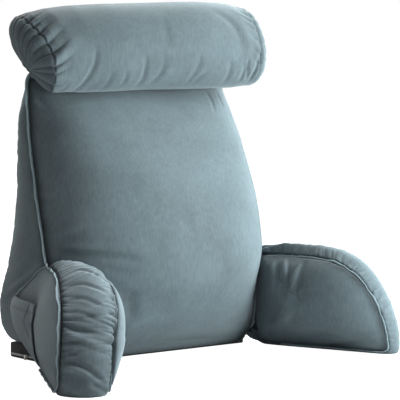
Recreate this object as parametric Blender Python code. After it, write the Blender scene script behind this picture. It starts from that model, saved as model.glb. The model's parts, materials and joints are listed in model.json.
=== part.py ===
"""Reading pillow with arms: a wedge back cushion, a neck roll, two boxed arms and a dark base.

Metres, +Z up. The front, where the sitter leans, faces -Y, and +X is to the right seen from there.
The origin is on the flat underside of the base, midway across its width.
"""
import math
from collections import namedtuple

import bmesh
import bpy
import numpy as np
from mathutils import Vector
from mathutils.bvhtree import BVHTree

# ---------------------------------------------------------------- driving dimensions
SEAT_GAP = 0.0003            # pieces that touch are this far apart
SOFT_GAP = 0.0008            # the same between two curved soft faces

BASE_HALF_WIDTH = 0.2485
BASE_FRONT = -0.0585
BASE_BACK = 0.0880
BASE_HEIGHT = 0.0310
BASE_EDGE = 0.004            # bevel of the base's boxed edges

FLANGE_THICKNESS = 0.0024    # two layers of cloth
FLANGE_WIDTH = 0.009
FLANGE_SEWN = 0.42           # how thick the strip is where it is sewn, as a share of its edge
ARM_FLANGE_ROOT = 0.0012     # from the seam line to the strip's sewn edge
WEDGE_FLANGE_ROOT = 0.0007
FLANGE_RUFFLE = 0.22         # how far the arms' flanges sway to each side
FLANGE_WAVE = 5.0            # outline points to one sway
FLANGE_FLOOR = 0.030         # below this height the arms' flanges turn level
FLANGE_START = 0.180         # the wedge's flange begins at the arms' tops
FLANGE_EAR = 0.236           # and ends on the ear, this far from the middle
FLANGE_FORWARD = 0.12        # the wedge's flange leans towards the front
POCKET_THICKNESS = 0.0024
POCKET_MOUTH_GAP = 0.018
POCKET_SEAT = 0.0012

# The wedge's front and rear seams: half width and depth at each height.
Level = namedtuple("Level", "z half_width y")
FRONT_SEAM = (
    Level(0.006, 0.250, -0.071),
    Level(0.060, 0.261, -0.083),
    Level(0.200, 0.267, -0.077),
    Level(0.320, 0.262, -0.043),
    Level(0.420, 0.255, -0.010),
    Level(0.490, 0.249, 0.010),
    Level(0.566, 0.243, 0.026),
)
REAR_SEAM = (
    Level(0.034, 0.248, 0.084),
    Level(0.060, 0.265, 0.090),
    Level(0.110, 0.276, 0.092),
    Level(0.200, 0.262, 0.077),
    Level(0.320, 0.248, 0.067),
    Level(0.420, 0.243, 0.063),
    Level(0.552, 0.235, 0.057),
)
# How far the filling pushes each face out at each height.
Crown = namedtuple("Crown", "z front side rear")
WEDGE_CROWN = (
    Crown(0.000, 0.030, 0.004, 0.004),
    Crown(0.060, 0.080, 0.012, 0.020),
    Crown(0.150, 0.112, 0.016, 0.036),
    Crown(0.250, 0.118, 0.015, 0.044),
    Crown(0.350, 0.114, 0.012, 0.044),
    Crown(0.450, 0.098, 0.010, 0.034),
    Crown(0.520, 0.074, 0.008, 0.020),
    Crown(0.566, 0.030, 0.006, 0.008),
)
WEDGE_TOP = 0.5600           # the roll presses the top seam flat here
WEDGE_TOP_RISE = 0.0060      # and lower at the left end than at the right
WEDGE_TOP_SAG = 0.010        # the top seam's dip in the middle
WEDGE_EAR_START = 0.198      # the ears stand up from here outwards
WEDGE_EAR_SLOPE = 0.091
WEDGE_CENTRE = (0.0, 0.270)  # the front panel's middle: width fraction and height
# The front panel's two corners: where each turns, as a fraction of the width, and its height.
HalfCorner = namedtuple("HalfCorner", "name start up radius arc_steps line_steps")
WEDGE_FOOT = HalfCorner("foot", 0.84, 0.006, 0.040, 3, 17)
WEDGE_EAR = HalfCorner("ear", 0.92, 0.568, 0.022, 4, 7)
FRONT_RINGS = (0.30, 0.56, 0.76, 0.89, 0.965)
SIDE_RINGS = (0.12, 0.36, 0.64, 0.88)
REAR_RINGS = (0.93, 0.74, 0.42)

# The arms. Seam corners in the arm's own directions: along it, outward from it, and up.
ARM_ROOT_X = 0.262
ARM_ROOT_Y = -0.085
ARM_SPLAY = math.radians(18.5)
Corner = namedtuple("Corner", "name along out up reach arc_steps line_steps")
INNER_SEAM = (
    Corner("toe", 0.318, 0.006, 0.004, 0.024, 4, 8),
    Corner("hand", 0.314, -0.052, 0.207, 0.160, 27, 18),
    Corner("shoulder", 0.004, 0.000, 0.192, 0.020, 3, 3),
    Corner("back", 0.000, 0.000, 0.100, 0.015, 2, 3),
    Corner("heel", 0.004, 0.000, 0.004, 0.015, 3, 7),
)
OUTER_SEAM = (
    Corner("toe", 0.294, 0.070, 0.004, 0.026, 4, 8),
    Corner("hand", 0.296, 0.060, 0.213, 0.155, 27, 18),
    Corner("shoulder", -0.005, 0.006, 0.206, 0.035, 3, 3),
    Corner("back", -0.084, 0.042, 0.108, 0.045, 2, 3),
    Corner("heel", -0.040, 0.018, 0.004, 0.030, 3, 7),
)
INNER_MIDDLE = (0.150, -0.020, 0.100)
OUTER_MIDDLE = (0.100, 0.046, 0.104)
ARM_INNER_CROWN = 0.046
ARM_OUTER_CROWN = 0.014
ARM_TUCK = 0.050             # below this height the panels tuck in towards the floor
ARM_STRIP_CROWN = 0.022
ARM_PANEL_RINGS = (0.45, 0.76, 0.94)
ARM_STRIP_RINGS = (0.10, 0.30, 0.54, 0.78, 0.93)
GATHER_STEPS = 3             # outline points to one gather
GATHER_HEIGHT = 0.0035
# Each arm's size along, outward and up: the left one is longer and lower.
LEFT_ARM_SIZE = np.array((1.07, 1.05, 0.955))
RIGHT_ARM_SIZE = np.array((0.98, 1.00, 1.00))

# The pocket, on the left arm's outer panel.
POCKET_FRONT = 0.108
POCKET_TOP = 0.136
POCKET_BOTTOM = 0.022
POCKET_INSET = 0.012
POCKET_COLUMNS = 14
POCKET_ROWS = 9

# The neck roll: sections across its length.
Section = namedtuple("Section", "x y z long short lean pinch pleat")
ROLL_SECTIONS = (
    Section(-0.2790, -0.038, 0.586, 0.012, 0.007, 44, 0.9, 0.12),
    Section(-0.2820, -0.037, 0.588, 0.040, 0.020, 44, 0.8, 0.16),
    Section(-0.2820, -0.034, 0.592, 0.067, 0.034, 44, 0.6, 0.10),
    Section(-0.2760, -0.032, 0.595, 0.086, 0.046, 44, 0.5, 0.05),
    Section(-0.2600, -0.030, 0.598, 0.094, 0.056, 42, 0.5, 0.03),
    Section(-0.2250, -0.028, 0.603, 0.094, 0.064, 38, 0.6, 0.00),
    Section(-0.1200, -0.024, 0.617, 0.092, 0.073, 30, 0.9, 0.00),
    Section(0.0000, -0.022, 0.628, 0.093, 0.076, 28, 1.0, 0.00),
    Section(0.1300, -0.022, 0.635, 0.095, 0.076, 28, 1.0, 0.00),
    Section(0.2250, -0.022, 0.638, 0.094, 0.072, 28, 1.0, 0.00),
    Section(0.2560, -0.024, 0.637, 0.088, 0.066, 28, 0.9, 0.03),
    Section(0.2740, -0.026, 0.634, 0.072, 0.054, 28, 0.8, 0.05),
    Section(0.2860, -0.028, 0.630, 0.046, 0.036, 28, 0.8, 0.10),
    Section(0.2900, -0.030, 0.628, 0.018, 0.014, 28, 0.9, 0.12),
)
ROLL_MIDDLE_RINGS = 11       # evenly spread between the two rounded ends
ROLL_PLEATS = 14
ROLL_STEPS = 56

ZIP_LENGTH = 0.088
ZIP_HEIGHT = 0.004
ZIP_THICKNESS = 0.0014


# ---------------------------------------------------------------- small helpers
def material(name, colour, roughness, metallic=0.0):
    """One Principled material with a plain colour."""
    made = bpy.data.materials.new(name)
    made.use_nodes = True
    shader = made.node_tree.nodes["Principled BSDF"]
    shader.inputs["Base Color"].default_value = (*colour, 1.0)
    shader.inputs["Roughness"].default_value = roughness
    shader.inputs["Metallic"].default_value = metallic
    made.diffuse_color = (*colour, 1.0)
    return made


def mesh_object(name, points, faces, finish):
    """A closed smooth object from points and faces, with its faces pointing out."""
    mesh = bpy.data.meshes.new(name)
    mesh.from_pydata([tuple(point) for point in points], [], faces)
    shell = bmesh.new()
    shell.from_mesh(mesh)
    bmesh.ops.triangulate(shell, faces=shell.faces)
    bmesh.ops.recalc_face_normals(shell, faces=shell.faces)
    if shell.calc_volume(signed=True) < 0.0:
        bmesh.ops.reverse_faces(shell, faces=shell.faces)
    shell.to_mesh(mesh)
    shell.free()
    mesh.shade_smooth()
    mesh.materials.append(finish)
    made = bpy.data.objects.new(name, mesh)
    bpy.context.scene.collection.objects.link(made)
    return made


def read(rows, column, position, key="z"):
    """A column of a table at any position, with its corners rounded."""
    keys = [getattr(row, key) for row in rows]
    values = [getattr(row, column) for row in rows]
    window = 0.25 * (keys[-1] - keys[0]) / len(rows)
    return sum(np.interp(position + shift * window, keys, values) for shift in (-1, 0, 1)) / 3.0


def unit(vectors):
    """Vectors scaled to length one."""
    return vectors / np.maximum(np.linalg.norm(vectors, axis=-1, keepdims=True), 1e-9)


def corner_spot(corner):
    """A corner's place along, out and up."""
    return np.array((corner.along, corner.out, corner.up))


def rounded_outline(corners):
    """Points along a closed seam of straight stretches and rounded corners."""
    points = []
    for index, corner in enumerate(corners):
        following = corners[(index + 1) % len(corners)]
        here = corner_spot(corner)
        ahead = corner_spot(following)
        start = here + unit(corner_spot(corners[index - 1]) - here) * corner.reach
        end = here + unit(ahead - here) * corner.reach
        stop = ahead + unit(here - ahead) * following.reach
        for step in range(corner.arc_steps):
            share = step / corner.arc_steps
            points.append(start * (1 - share) ** 2 + here * 2 * share * (1 - share) + end * share ** 2)
        for step in range(corner.line_steps):
            points.append(end + (stop - end) * step / corner.line_steps)
    return np.array(points)


def skin(first_pole, loops, last_pole):
    """Points and faces of a closed body made of loops between two end points."""
    count = len(loops[0])
    points = [first_pole]
    for loop in loops:
        points.extend(loop)
    points.append(last_pole)
    faces = []
    for step in range(count):
        following = (step + 1) % count
        faces.append((0, 1 + step, 1 + following))
        for ring in range(len(loops) - 1):
            low = 1 + ring * count
            high = low + count
            faces.append((low + step, high + step, high + following, low + following))
        base = 1 + (len(loops) - 1) * count
        faces.append((base + step, len(points) - 1, base + following))
    return points, faces


def carve(thing, neighbour):
    """Cut a soft piece where its neighbour presses into it, leaving a small gap."""
    cutter = neighbour.copy()
    cutter.data = neighbour.data.copy()
    cutter.name = neighbour.name + "_cutter"
    cutter.hide_render = True
    cutter.display_type = "WIRE"
    bpy.context.scene.collection.objects.link(cutter)
    for vertex in cutter.data.vertices:
        vertex.co += vertex.normal * SOFT_GAP
    cut = thing.modifiers.new("carve", "BOOLEAN")
    cut.operation = "DIFFERENCE"
    cut.solver = "EXACT"
    cut.object = cutter
    depsgraph = bpy.context.evaluated_depsgraph_get()
    carved = bpy.data.meshes.new_from_object(thing.evaluated_get(depsgraph))
    thing.modifiers.clear()
    bpy.data.objects.remove(cutter, do_unlink=True)
    shell = bmesh.new()
    shell.from_mesh(carved)
    bmesh.ops.remove_doubles(shell, verts=shell.verts, dist=0.0001)
    bmesh.ops.dissolve_degenerate(shell, edges=shell.edges, dist=0.0001)
    bmesh.ops.triangulate(shell, faces=shell.faces)
    shell.to_mesh(carved)
    shell.free()
    thing.data = carved
    carved.shade_smooth()


def surface_tree(thing):
    """The surface of an object, ready for measuring against."""
    return BVHTree.FromPolygons(
        [vertex.co.copy() for vertex in thing.data.vertices],
        [tuple(face.vertices) for face in thing.data.polygons],
    )


def arm_frame(side):
    """Root point, forward direction and outward direction of one arm (side is -1 or +1)."""
    root = np.array((side * ARM_ROOT_X, ARM_ROOT_Y, 0.0))
    forward = np.array((side * math.sin(ARM_SPLAY), -math.cos(ARM_SPLAY), 0.0))
    outward = np.array((side * math.cos(ARM_SPLAY), math.sin(ARM_SPLAY), 0.0))
    return root, forward, outward


# ---------------------------------------------------------------- the wedge back
def wedge_outline():
    """The front panel's outline: width fraction and height, round from the lowest middle point."""
    low = WEDGE_FOOT
    high = WEDGE_EAR
    bottom_steps = low.line_steps // 2
    half = [(low.start * step / bottom_steps, low.up) for step in range(bottom_steps)]
    for step in range(low.arc_steps + 1):
        angle = -0.5 * math.pi + 0.5 * math.pi * step / low.arc_steps
        turn = low.start + (1.0 - low.start) * math.cos(angle)
        half.append((turn, low.up + low.radius * (1.0 + math.sin(angle))))
    for step in range(1, low.line_steps + 1):
        rise = (high.up - high.radius - low.up - low.radius) * step / (low.line_steps + 1)
        half.append((1.0, low.up + low.radius + rise))
    for step in range(high.arc_steps + 1):
        angle = 0.5 * math.pi * step / high.arc_steps
        turn = high.start + (1.0 - high.start) * math.cos(angle)
        half.append((turn, high.up - high.radius * (1.0 - math.sin(angle))))
    for step in range(1, high.line_steps):
        share = step / high.line_steps
        dip = WEDGE_TOP_SAG * math.sin(0.5 * math.pi * share)
        half.append((high.start * (1.0 - share), high.up - dip))
    half = np.array(half)
    top_middle = np.array([(0.0, high.up - WEDGE_TOP_SAG)])
    mirrored = half[:0:-1] * np.array((-1.0, 1.0))
    return np.concatenate((half, top_middle, mirrored))


def wedge_loops():
    """End points and loops of the wedge, from the front panel's middle to the rear panel's."""
    outline = wedge_outline()
    centre = np.array(WEDGE_CENTRE)
    low = FRONT_SEAM[0].z
    high = WEDGE_EAR.up

    def pillow(flat, fraction):
        rise = np.clip(2.0 * (flat[:, 1] - low) / (high - low) - 1.0, -1.0, 1.0)
        domed = (1.0 - np.abs(flat[:, 0]) ** 4) * (1.0 - np.abs(rise) ** 6) * (1.0 - fraction ** 16)
        return np.clip(domed, 0.0, 1.0) ** 0.5

    def front(fraction):
        flat = centre + fraction * (outline - centre)
        width = read(FRONT_SEAM, "half_width", flat[:, 1])
        depth = read(FRONT_SEAM, "y", flat[:, 1])
        crown = read(WEDGE_CROWN, "front", flat[:, 1]) * pillow(flat, fraction)
        return np.stack((flat[:, 0] * width, depth - crown, flat[:, 1]), axis=1)

    def rear(fraction):
        flat = centre + fraction * (outline - centre)
        height = REAR_SEAM[0].z + (flat[:, 1] - low) / (high - low) * (REAR_SEAM[-1].z - REAR_SEAM[0].z)
        width = read(REAR_SEAM, "half_width", height)
        depth = read(REAR_SEAM, "y", height)
        crown = read(WEDGE_CROWN, "rear", height) * pillow(flat, fraction)
        return np.stack((flat[:, 0] * width, depth + crown, height), axis=1)

    front_seam = front(1.0)
    rear_seam = rear(1.0)
    along = np.roll(front_seam, -1, axis=0) - np.roll(front_seam, 1, axis=0)
    outward = unit(np.stack((along[:, 2], np.zeros(len(along)), -along[:, 0]), axis=1))
    under = np.clip((-outward[:, 2] - 0.3) / 0.5, 0.0, 1.0)[:, None]

    loops = [front(fraction) for fraction in FRONT_RINGS]
    loops.append(front_seam)
    # Under the wedge the cloth hangs over the base's front edge and then lies on the base.
    front_edge = BASE_FRONT - 2 * SEAT_GAP
    rest = BASE_HEIGHT + SEAT_GAP
    under_path = ((front_edge, low), (front_edge, rest), (0.010, rest), (0.070, rest))
    for share, (under_y, under_z) in zip(SIDE_RINGS, under_path):
        across = front_seam + share * (rear_seam - front_seam)
        bulge = read(WEDGE_CROWN, "side", across[:, 2]) * math.sin(math.pi * share) ** 0.7
        loop = across + outward * bulge[:, None] * (1.0 - under)
        beneath = np.stack((across[:, 0], np.full(len(loop), under_y), np.full(len(loop), under_z)), axis=1)
        loops.append(loop * (1.0 - under) + beneath * under)
    loops.append(rear_seam)
    loops.extend(rear(fraction) for fraction in REAR_RINGS)

    for loop in loops:
        pressed = WEDGE_TOP + WEDGE_TOP_RISE * loop[:, 0] / FRONT_SEAM[-1].half_width
        ears = WEDGE_EAR_SLOPE * np.maximum(np.abs(loop[:, 0]) - WEDGE_EAR_START, 0.0)
        loop[:, 2] = np.minimum(loop[:, 2], pressed + ears)
        near_base = np.abs(loop[:, 0]) < BASE_HALF_WIDTH + 0.002
        over_base = near_base & (loop[:, 1] > front_edge - SEAT_GAP / 3)
        loop[over_base, 2] = np.maximum(loop[over_base, 2], rest)
    return front(0.0)[0], loops, rear(0.0)[0]


def build_wedge(cloth):
    """The filled back cushion: crowned front, boxed sides, two eared top corners."""
    points, faces = skin(*wedge_loops())
    return mesh_object("back_wedge", points, faces, cloth)


# ---------------------------------------------------------------- flanges
def flange_strip(name, seam, outward, root, finish):
    """A flat strip of cloth standing out of a seam, thinner where it is sewn."""
    across = unit(np.cross(unit(np.gradient(seam, axis=0)), outward)) * FLANGE_THICKNESS / 2
    inner = seam + outward * root
    outer = inner + outward * FLANGE_WIDTH
    sewn = FLANGE_SEWN * across
    rings = np.stack((inner + sewn, outer + across, outer - across, inner - sewn), axis=1)
    points = rings.reshape(-1, 3)
    points[:, 2] = np.maximum(points[:, 2], SEAT_GAP)
    faces = []
    last = 4 * (len(seam) - 1)
    for here in range(0, last, 4):
        for edge in range(4):
            after = (edge + 1) % 4
            faces.append((here + edge, here + after, here + 4 + after, here + 4 + edge))
    faces.append((3, 2, 1, 0))
    faces.append((last, last + 1, last + 2, last + 3))
    made = mesh_object(name, points, faces, finish)
    made.data.set_sharp_from_angle(angle=math.radians(50))
    return made


def build_wedge_flange(side, cloth, arm, roll):
    """The seam flange up one edge of the front panel, from the arm's top round the ear."""
    _, loops, _ = wedge_loops()
    seam = loops[len(FRONT_RINGS)]
    count = len(seam)
    first = next(step for step in range(count) if seam[step, 2] > FLANGE_START)
    last = next(step for step in range(first, count) if abs(seam[step, 0]) < FLANGE_EAR)
    run = seam[first:last + 1].copy()
    run[:, 0] *= side
    along = unit(np.gradient(run, axis=0))
    radial = unit(np.stack((along[:, 2] * side, np.zeros(len(run)), -along[:, 0] * side), axis=1))
    outward = unit(radial + np.array((0.0, -FLANGE_FORWARD, 0.0)))
    name = "wedge_flange_left" if side < 0 else "wedge_flange_right"
    flange = flange_strip(name, run, outward, WEDGE_FLANGE_ROOT, cloth)
    carve(flange, roll)
    carve(flange, arm)


# ---------------------------------------------------------------- arms
def gather_wave(count):
    """How far each seam point rides on a gather; the gathers run over the top and front."""
    steps = np.arange(count)
    first = INNER_SEAM[0].arc_steps
    last = first + INNER_SEAM[0].line_steps + INNER_SEAM[1].arc_steps + INNER_SEAM[1].line_steps
    strength = np.clip((steps - first) / 3.0, 0, 1) * np.clip((last - steps) / 3.0, 0, 1)
    return np.cos(2 * math.pi * steps / GATHER_STEPS) * strength


def arm_loops(side):
    """End points and loops of one arm, from the inner panel's middle to the outer panel's."""
    size = LEFT_ARM_SIZE if side < 0 else RIGHT_ARM_SIZE
    root, forward, outward = arm_frame(side)
    axes = np.array((forward, outward, (0.0, 0.0, 1.0)))
    inner = rounded_outline(INNER_SEAM)
    outer = rounded_outline(OUTER_SEAM)
    tangent = np.roll(inner, -1, axis=0) - np.roll(inner, 1, axis=0)
    lift = unit(np.cross(tangent, outer - inner + np.array((0.0, 0.02, 0.0))))
    lift *= np.sign(np.sum(lift * (inner - np.array(INNER_MIDDLE)), axis=1, keepdims=True))
    gathers = gather_wave(len(inner)) * GATHER_HEIGHT

    def panel(seam, middle, crown, fraction):
        ring = np.array(middle) + fraction * (seam - np.array(middle))
        near_floor = np.clip(ring[:, 2] / ARM_TUCK, 0.0, 1.0) ** 0.6
        ring[:, 1] += crown * (1.0 - fraction ** 3.6) ** 0.5 * near_floor
        return ring

    loops = [panel(inner, INNER_MIDDLE, -ARM_INNER_CROWN, fraction) for fraction in ARM_PANEL_RINGS]
    loops.append(inner)
    for share in ARM_STRIP_RINGS:
        across = inner + share * (outer - inner)
        arch = math.sin(math.pi * share)
        bulge = ARM_STRIP_CROWN * arch ** 0.6 * np.clip(across[:, 0] / 0.04, 0.0, 1.0)
        loops.append(across + lift * (bulge + gathers * (1.0 - 0.55 * arch))[:, None])
    loops.append(outer)
    for fraction in reversed(ARM_PANEL_RINGS):
        loops.append(panel(outer, OUTER_MIDDLE, ARM_OUTER_CROWN, fraction))
    loops = [root + (loop * size) @ axes for loop in loops]
    for loop in loops:
        loop[:, 2] = np.maximum(loop[:, 2], 0.0)
    first_pole = root + (panel(inner, INNER_MIDDLE, -ARM_INNER_CROWN, 0.0)[0] * size) @ axes
    last_pole = root + (panel(outer, OUTER_MIDDLE, ARM_OUTER_CROWN, 0.0)[0] * size) @ axes
    return first_pole, loops, last_pole


def build_arm(side, cloth, wedge):
    """One boxed D-shaped arm cushion, pressed against the wedge's side."""
    points, faces = skin(*arm_loops(side))
    name = "arm_left" if side < 0 else "arm_right"
    arm = mesh_object(name, points, faces, cloth)
    carve(arm, wedge)
    return arm


def build_arm_flanges(side, cloth):
    """The ruffled seam flanges round the free edges of one arm's two panels."""
    _, _, outward = arm_frame(side)
    _, loops, _ = arm_loops(side)
    inner_index = len(ARM_PANEL_RINGS)
    outer_index = inner_index + len(ARM_STRIP_RINGS) + 1
    last = INNER_SEAM[0].arc_steps + INNER_SEAM[0].line_steps
    last += INNER_SEAM[1].arc_steps + INNER_SEAM[1].line_steps
    under = INNER_SEAM[-1].line_steps - 1
    for label, index, lean in (("inner", inner_index, -1.0), ("outer", outer_index, 1.0)):
        steps = np.arange(-under, last)
        run = loops[index][steps]
        radial = unit(np.cross(unit(np.gradient(run, axis=0)), outward))
        radial *= np.sign(np.sum(radial * (run - loops[index].mean(axis=0)), axis=1, keepdims=True))
        standing = unit(0.8 * radial + 0.6 * lean * outward)
        between = sum(unit(loops[index + way][steps] - run) for way in (-1, 1))
        between *= np.sign(np.sum(between * standing, axis=1, keepdims=True))
        direction = unit(between + 0.6 * standing)
        near_floor = np.clip(1.0 - run[:, 2:] / FLANGE_FLOOR, 0.0, 1.0)
        wave = FLANGE_RUFFLE * np.sin(2 * math.pi * steps / FLANGE_WAVE)[:, None]
        direction = unit(direction + outward * wave * (1.0 - near_floor))
        level = unit(direction * np.array((1.0, 1.0, 0.0)) + outward * lean * 0.3)
        direction = unit(direction * (1.0 - near_floor) + level * near_floor)
        name = ("arm_left" if side < 0 else "arm_right") + "_flange_" + label
        flange_strip(name, run, direction, ARM_FLANGE_ROOT, cloth)


# ---------------------------------------------------------------- pocket
def build_pocket(cloth, arm_tree):
    """The patch pocket: a sheet sewn to the arm at its sides and foot, gaping at its mouth."""
    root, forward, outward = arm_frame(-1)
    outer = rounded_outline(OUTER_SEAM) * LEFT_ARM_SIZE
    back_edge = outer[outer[:, 0] < 0.0]
    back_edge = back_edge[np.argsort(back_edge[:, 2])]
    inner_points = []
    outer_points = []
    for row in range(POCKET_ROWS + 1):
        down = row / POCKET_ROWS
        up = POCKET_TOP + (POCKET_BOTTOM - POCKET_TOP) * down
        rear_end = np.interp(up, back_edge[:, 2], back_edge[:, 0]) + POCKET_INSET
        for column in range(POCKET_COLUMNS + 1):
            share = column / POCKET_COLUMNS
            along = rear_end + (POCKET_FRONT - rear_end) * share
            start = root + forward * along + outward * 0.4 + np.array((0.0, 0.0, up))
            hit, _, _, _ = arm_tree.ray_cast(Vector(start), Vector(-outward))
            belly = POCKET_MOUTH_GAP * math.sin(math.pi * share) ** 0.7 * (1.0 - down) ** 1.3
            seat = np.array(hit) + outward * (POCKET_SEAT + belly)
            inner_points.append(seat)
            outer_points.append(seat + outward * POCKET_THICKNESS)
    points = inner_points + outer_points
    across = POCKET_COLUMNS + 1
    layer = len(inner_points)
    faces = []
    for row in range(POCKET_ROWS):
        for column in range(POCKET_COLUMNS):
            corner = row * across + column
            quad = (corner, corner + 1, corner + across + 1, corner + across)
            faces.append(quad)
            faces.append(tuple(layer + index for index in reversed(quad)))
    rim = list(range(across))
    rim += [row * across + across - 1 for row in range(1, POCKET_ROWS + 1)]
    rim += [POCKET_ROWS * across + column for column in range(across - 2, -1, -1)]
    rim += [row * across for row in range(POCKET_ROWS - 1, 0, -1)]
    for step, here in enumerate(rim):
        after = rim[(step + 1) % len(rim)]
        faces.append((here, layer + here, layer + after, after))
    made = mesh_object("pocket", points, faces, cloth)
    made.data.set_sharp_from_angle(angle=math.radians(50))
    return made


# ---------------------------------------------------------------- neck roll
def roll_loops():
    """End points and loops of the neck roll, from its left end to its right end."""
    long_part = ROLL_SECTIONS[5:-4]
    places = np.linspace(long_part[0].x, long_part[-1].x, ROLL_MIDDLE_RINGS + 2)[1:-1]
    columns = Section._fields[1:]
    middle = [Section(x, *(read(long_part, column, x, "x") for column in columns)) for x in places]
    loops = []
    angles = 2 * math.pi * np.arange(ROLL_STEPS) / ROLL_STEPS
    for section in (*ROLL_SECTIONS[1:6], *middle, *ROLL_SECTIONS[-5:-1]):
        fold = 1.0 + section.pleat * np.cos(ROLL_PLEATS * angles)
        long_way = np.sin(angles) * section.long * fold
        short_way = np.cos(angles) * section.short * fold
        short_way *= np.where(short_way > 0.0, section.pinch, 1.0)
        lean = math.radians(section.lean)
        loops.append(np.stack((
            np.full(ROLL_STEPS, section.x),
            section.y + short_way * math.cos(lean) + long_way * math.sin(lean),
            section.z - short_way * math.sin(lean) + long_way * math.cos(lean),
        ), axis=1))
    first = ROLL_SECTIONS[0]
    last = ROLL_SECTIONS[-1]
    return np.array((first.x, first.y, first.z)), loops, np.array((last.x, last.y, last.z))


def build_roll(cloth, wedge):
    """The stuffed neck roll, gathered at both ends and dented where it sits on the wedge."""
    points, faces = skin(*roll_loops())
    roll = mesh_object("neck_roll", points, faces, cloth)
    carve(roll, wedge)
    return roll


# ---------------------------------------------------------------- base and zip
def box_object(name, low, high, bevel, finish):
    """A block between two corners, with its edges bevelled."""
    low = np.array(low)
    high = np.array(high)
    mesh = bpy.data.meshes.new(name)
    shell = bmesh.new()
    bmesh.ops.create_cube(shell, size=1.0)
    for vertex in shell.verts:
        vertex.co = Vector((low + high) / 2 + np.array(vertex.co) * (high - low))
    if bevel > 0.0:
        bmesh.ops.bevel(shell, geom=shell.edges, offset=bevel, segments=2, affect="EDGES", profile=0.5)
    bmesh.ops.triangulate(shell, faces=shell.faces)
    bmesh.ops.recalc_face_normals(shell, faces=shell.faces)
    shell.to_mesh(mesh)
    shell.free()
    mesh.materials.append(finish)
    made = bpy.data.objects.new(name, mesh)
    bpy.context.scene.collection.objects.link(made)
    return made


def build_base(dark):
    """The dark boxed base pad under the wedge."""
    low = (-BASE_HALF_WIDTH, BASE_FRONT, 0.0)
    high = (BASE_HALF_WIDTH, BASE_BACK, BASE_HEIGHT)
    return box_object("base_pad", low, high, BASE_EDGE, dark)


def build_zip(tape_finish, metal):
    """The zip along the base's left side: its tape, slider and hanging pull."""
    face = -BASE_HALF_WIDTH - SEAT_GAP
    back = BASE_BACK - 0.008
    centre_z = 0.008
    tape_low = (face - ZIP_THICKNESS, back - ZIP_LENGTH, centre_z - ZIP_HEIGHT / 2)
    box_object("zip_tape", tape_low, (face, back, centre_z + ZIP_HEIGHT / 2), 0.0, tape_finish)
    slider_face = face - ZIP_THICKNESS - SEAT_GAP
    slider_y = back - ZIP_LENGTH + 0.030
    slider_low = (slider_face - 0.003, slider_y - 0.005, centre_z - 0.0035)
    box_object("zip_slider", slider_low, (slider_face, slider_y + 0.005, centre_z + 0.0035), 0.0008, metal)
    pull_face = slider_face - 0.003 - SEAT_GAP
    pull_low = (pull_face - 0.0014, slider_y - 0.003, 0.0015)
    box_object("zip_pull", pull_low, (pull_face, slider_y + 0.003, centre_z + 0.003), 0.0004, metal)


def main():
    """Clear the scene and model the pillow, one object a piece."""
    for thing in list(bpy.data.objects):
        bpy.data.objects.remove(thing, do_unlink=True)
    cloth = material("pillow_cloth", (0.165, 0.215, 0.240), 0.85)
    dark = material("base_cloth", (0.022, 0.022, 0.020), 0.9)
    tape = material("zip_tape", (0.45, 0.46, 0.46), 0.7)
    metal = material("zip_metal", (0.72, 0.73, 0.74), 0.35, 1.0)
    build_base(dark)
    build_zip(tape, metal)
    wedge = build_wedge(cloth)
    roll = build_roll(cloth, wedge)
    for side in (-1, 1):
        arm = build_arm(side, cloth, wedge)
        build_wedge_flange(side, cloth, arm, roll)
        build_arm_flanges(side, cloth)
        if side < 0:
            build_pocket(cloth, surface_tree(arm))


if __name__ == "__main__":
    main()
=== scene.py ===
"""Reading pillow with arms: the dressed model, its cloth, and the studio it stands in."""
import json
import math
from collections import namedtuple

import bmesh
import bpy
import numpy as np
from mathutils import Matrix, Vector
from mathutils.bvhtree import BVHTree

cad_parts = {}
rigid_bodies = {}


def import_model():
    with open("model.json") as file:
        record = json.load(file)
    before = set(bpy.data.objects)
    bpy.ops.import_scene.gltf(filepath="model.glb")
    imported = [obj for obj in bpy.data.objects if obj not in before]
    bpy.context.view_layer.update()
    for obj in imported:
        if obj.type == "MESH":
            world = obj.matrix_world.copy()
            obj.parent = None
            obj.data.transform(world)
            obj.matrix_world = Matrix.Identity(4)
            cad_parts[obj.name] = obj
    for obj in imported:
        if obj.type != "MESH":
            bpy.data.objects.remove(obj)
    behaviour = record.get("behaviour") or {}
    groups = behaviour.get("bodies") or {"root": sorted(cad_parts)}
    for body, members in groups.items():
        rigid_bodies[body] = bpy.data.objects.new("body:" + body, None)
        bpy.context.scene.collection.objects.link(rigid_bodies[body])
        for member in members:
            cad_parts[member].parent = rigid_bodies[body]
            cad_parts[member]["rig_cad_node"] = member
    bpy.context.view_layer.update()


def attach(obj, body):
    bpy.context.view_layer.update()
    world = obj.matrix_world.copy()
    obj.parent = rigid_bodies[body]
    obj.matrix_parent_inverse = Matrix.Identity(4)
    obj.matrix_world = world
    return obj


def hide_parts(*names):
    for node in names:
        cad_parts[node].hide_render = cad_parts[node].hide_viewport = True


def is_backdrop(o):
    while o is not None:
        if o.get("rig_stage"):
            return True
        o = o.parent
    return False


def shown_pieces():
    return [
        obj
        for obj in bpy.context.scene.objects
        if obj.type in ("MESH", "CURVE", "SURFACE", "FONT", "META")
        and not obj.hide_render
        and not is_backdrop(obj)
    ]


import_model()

bl_info = {
    "name": "Reading Pillow With Arms",
    "version": (1, 0, 0),
    "blender": (4, 5, 0),
    "location": "3D View > Sidebar > Reading Pillow",
    "description": "Makes a reading pillow with arms, neck roll and pocket, and its studio",
    "category": "Object",
}

# ---------------------------------------------------------------- the pillow's sizes, in metres
SEAT_GAP = 0.0003
BASE_HALF_WIDTH = 0.2485
BASE_FRONT = -0.0585
BASE_BACK = 0.0880
BASE_HEIGHT = 0.0310
BASE_BEVEL = 0.004

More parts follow.
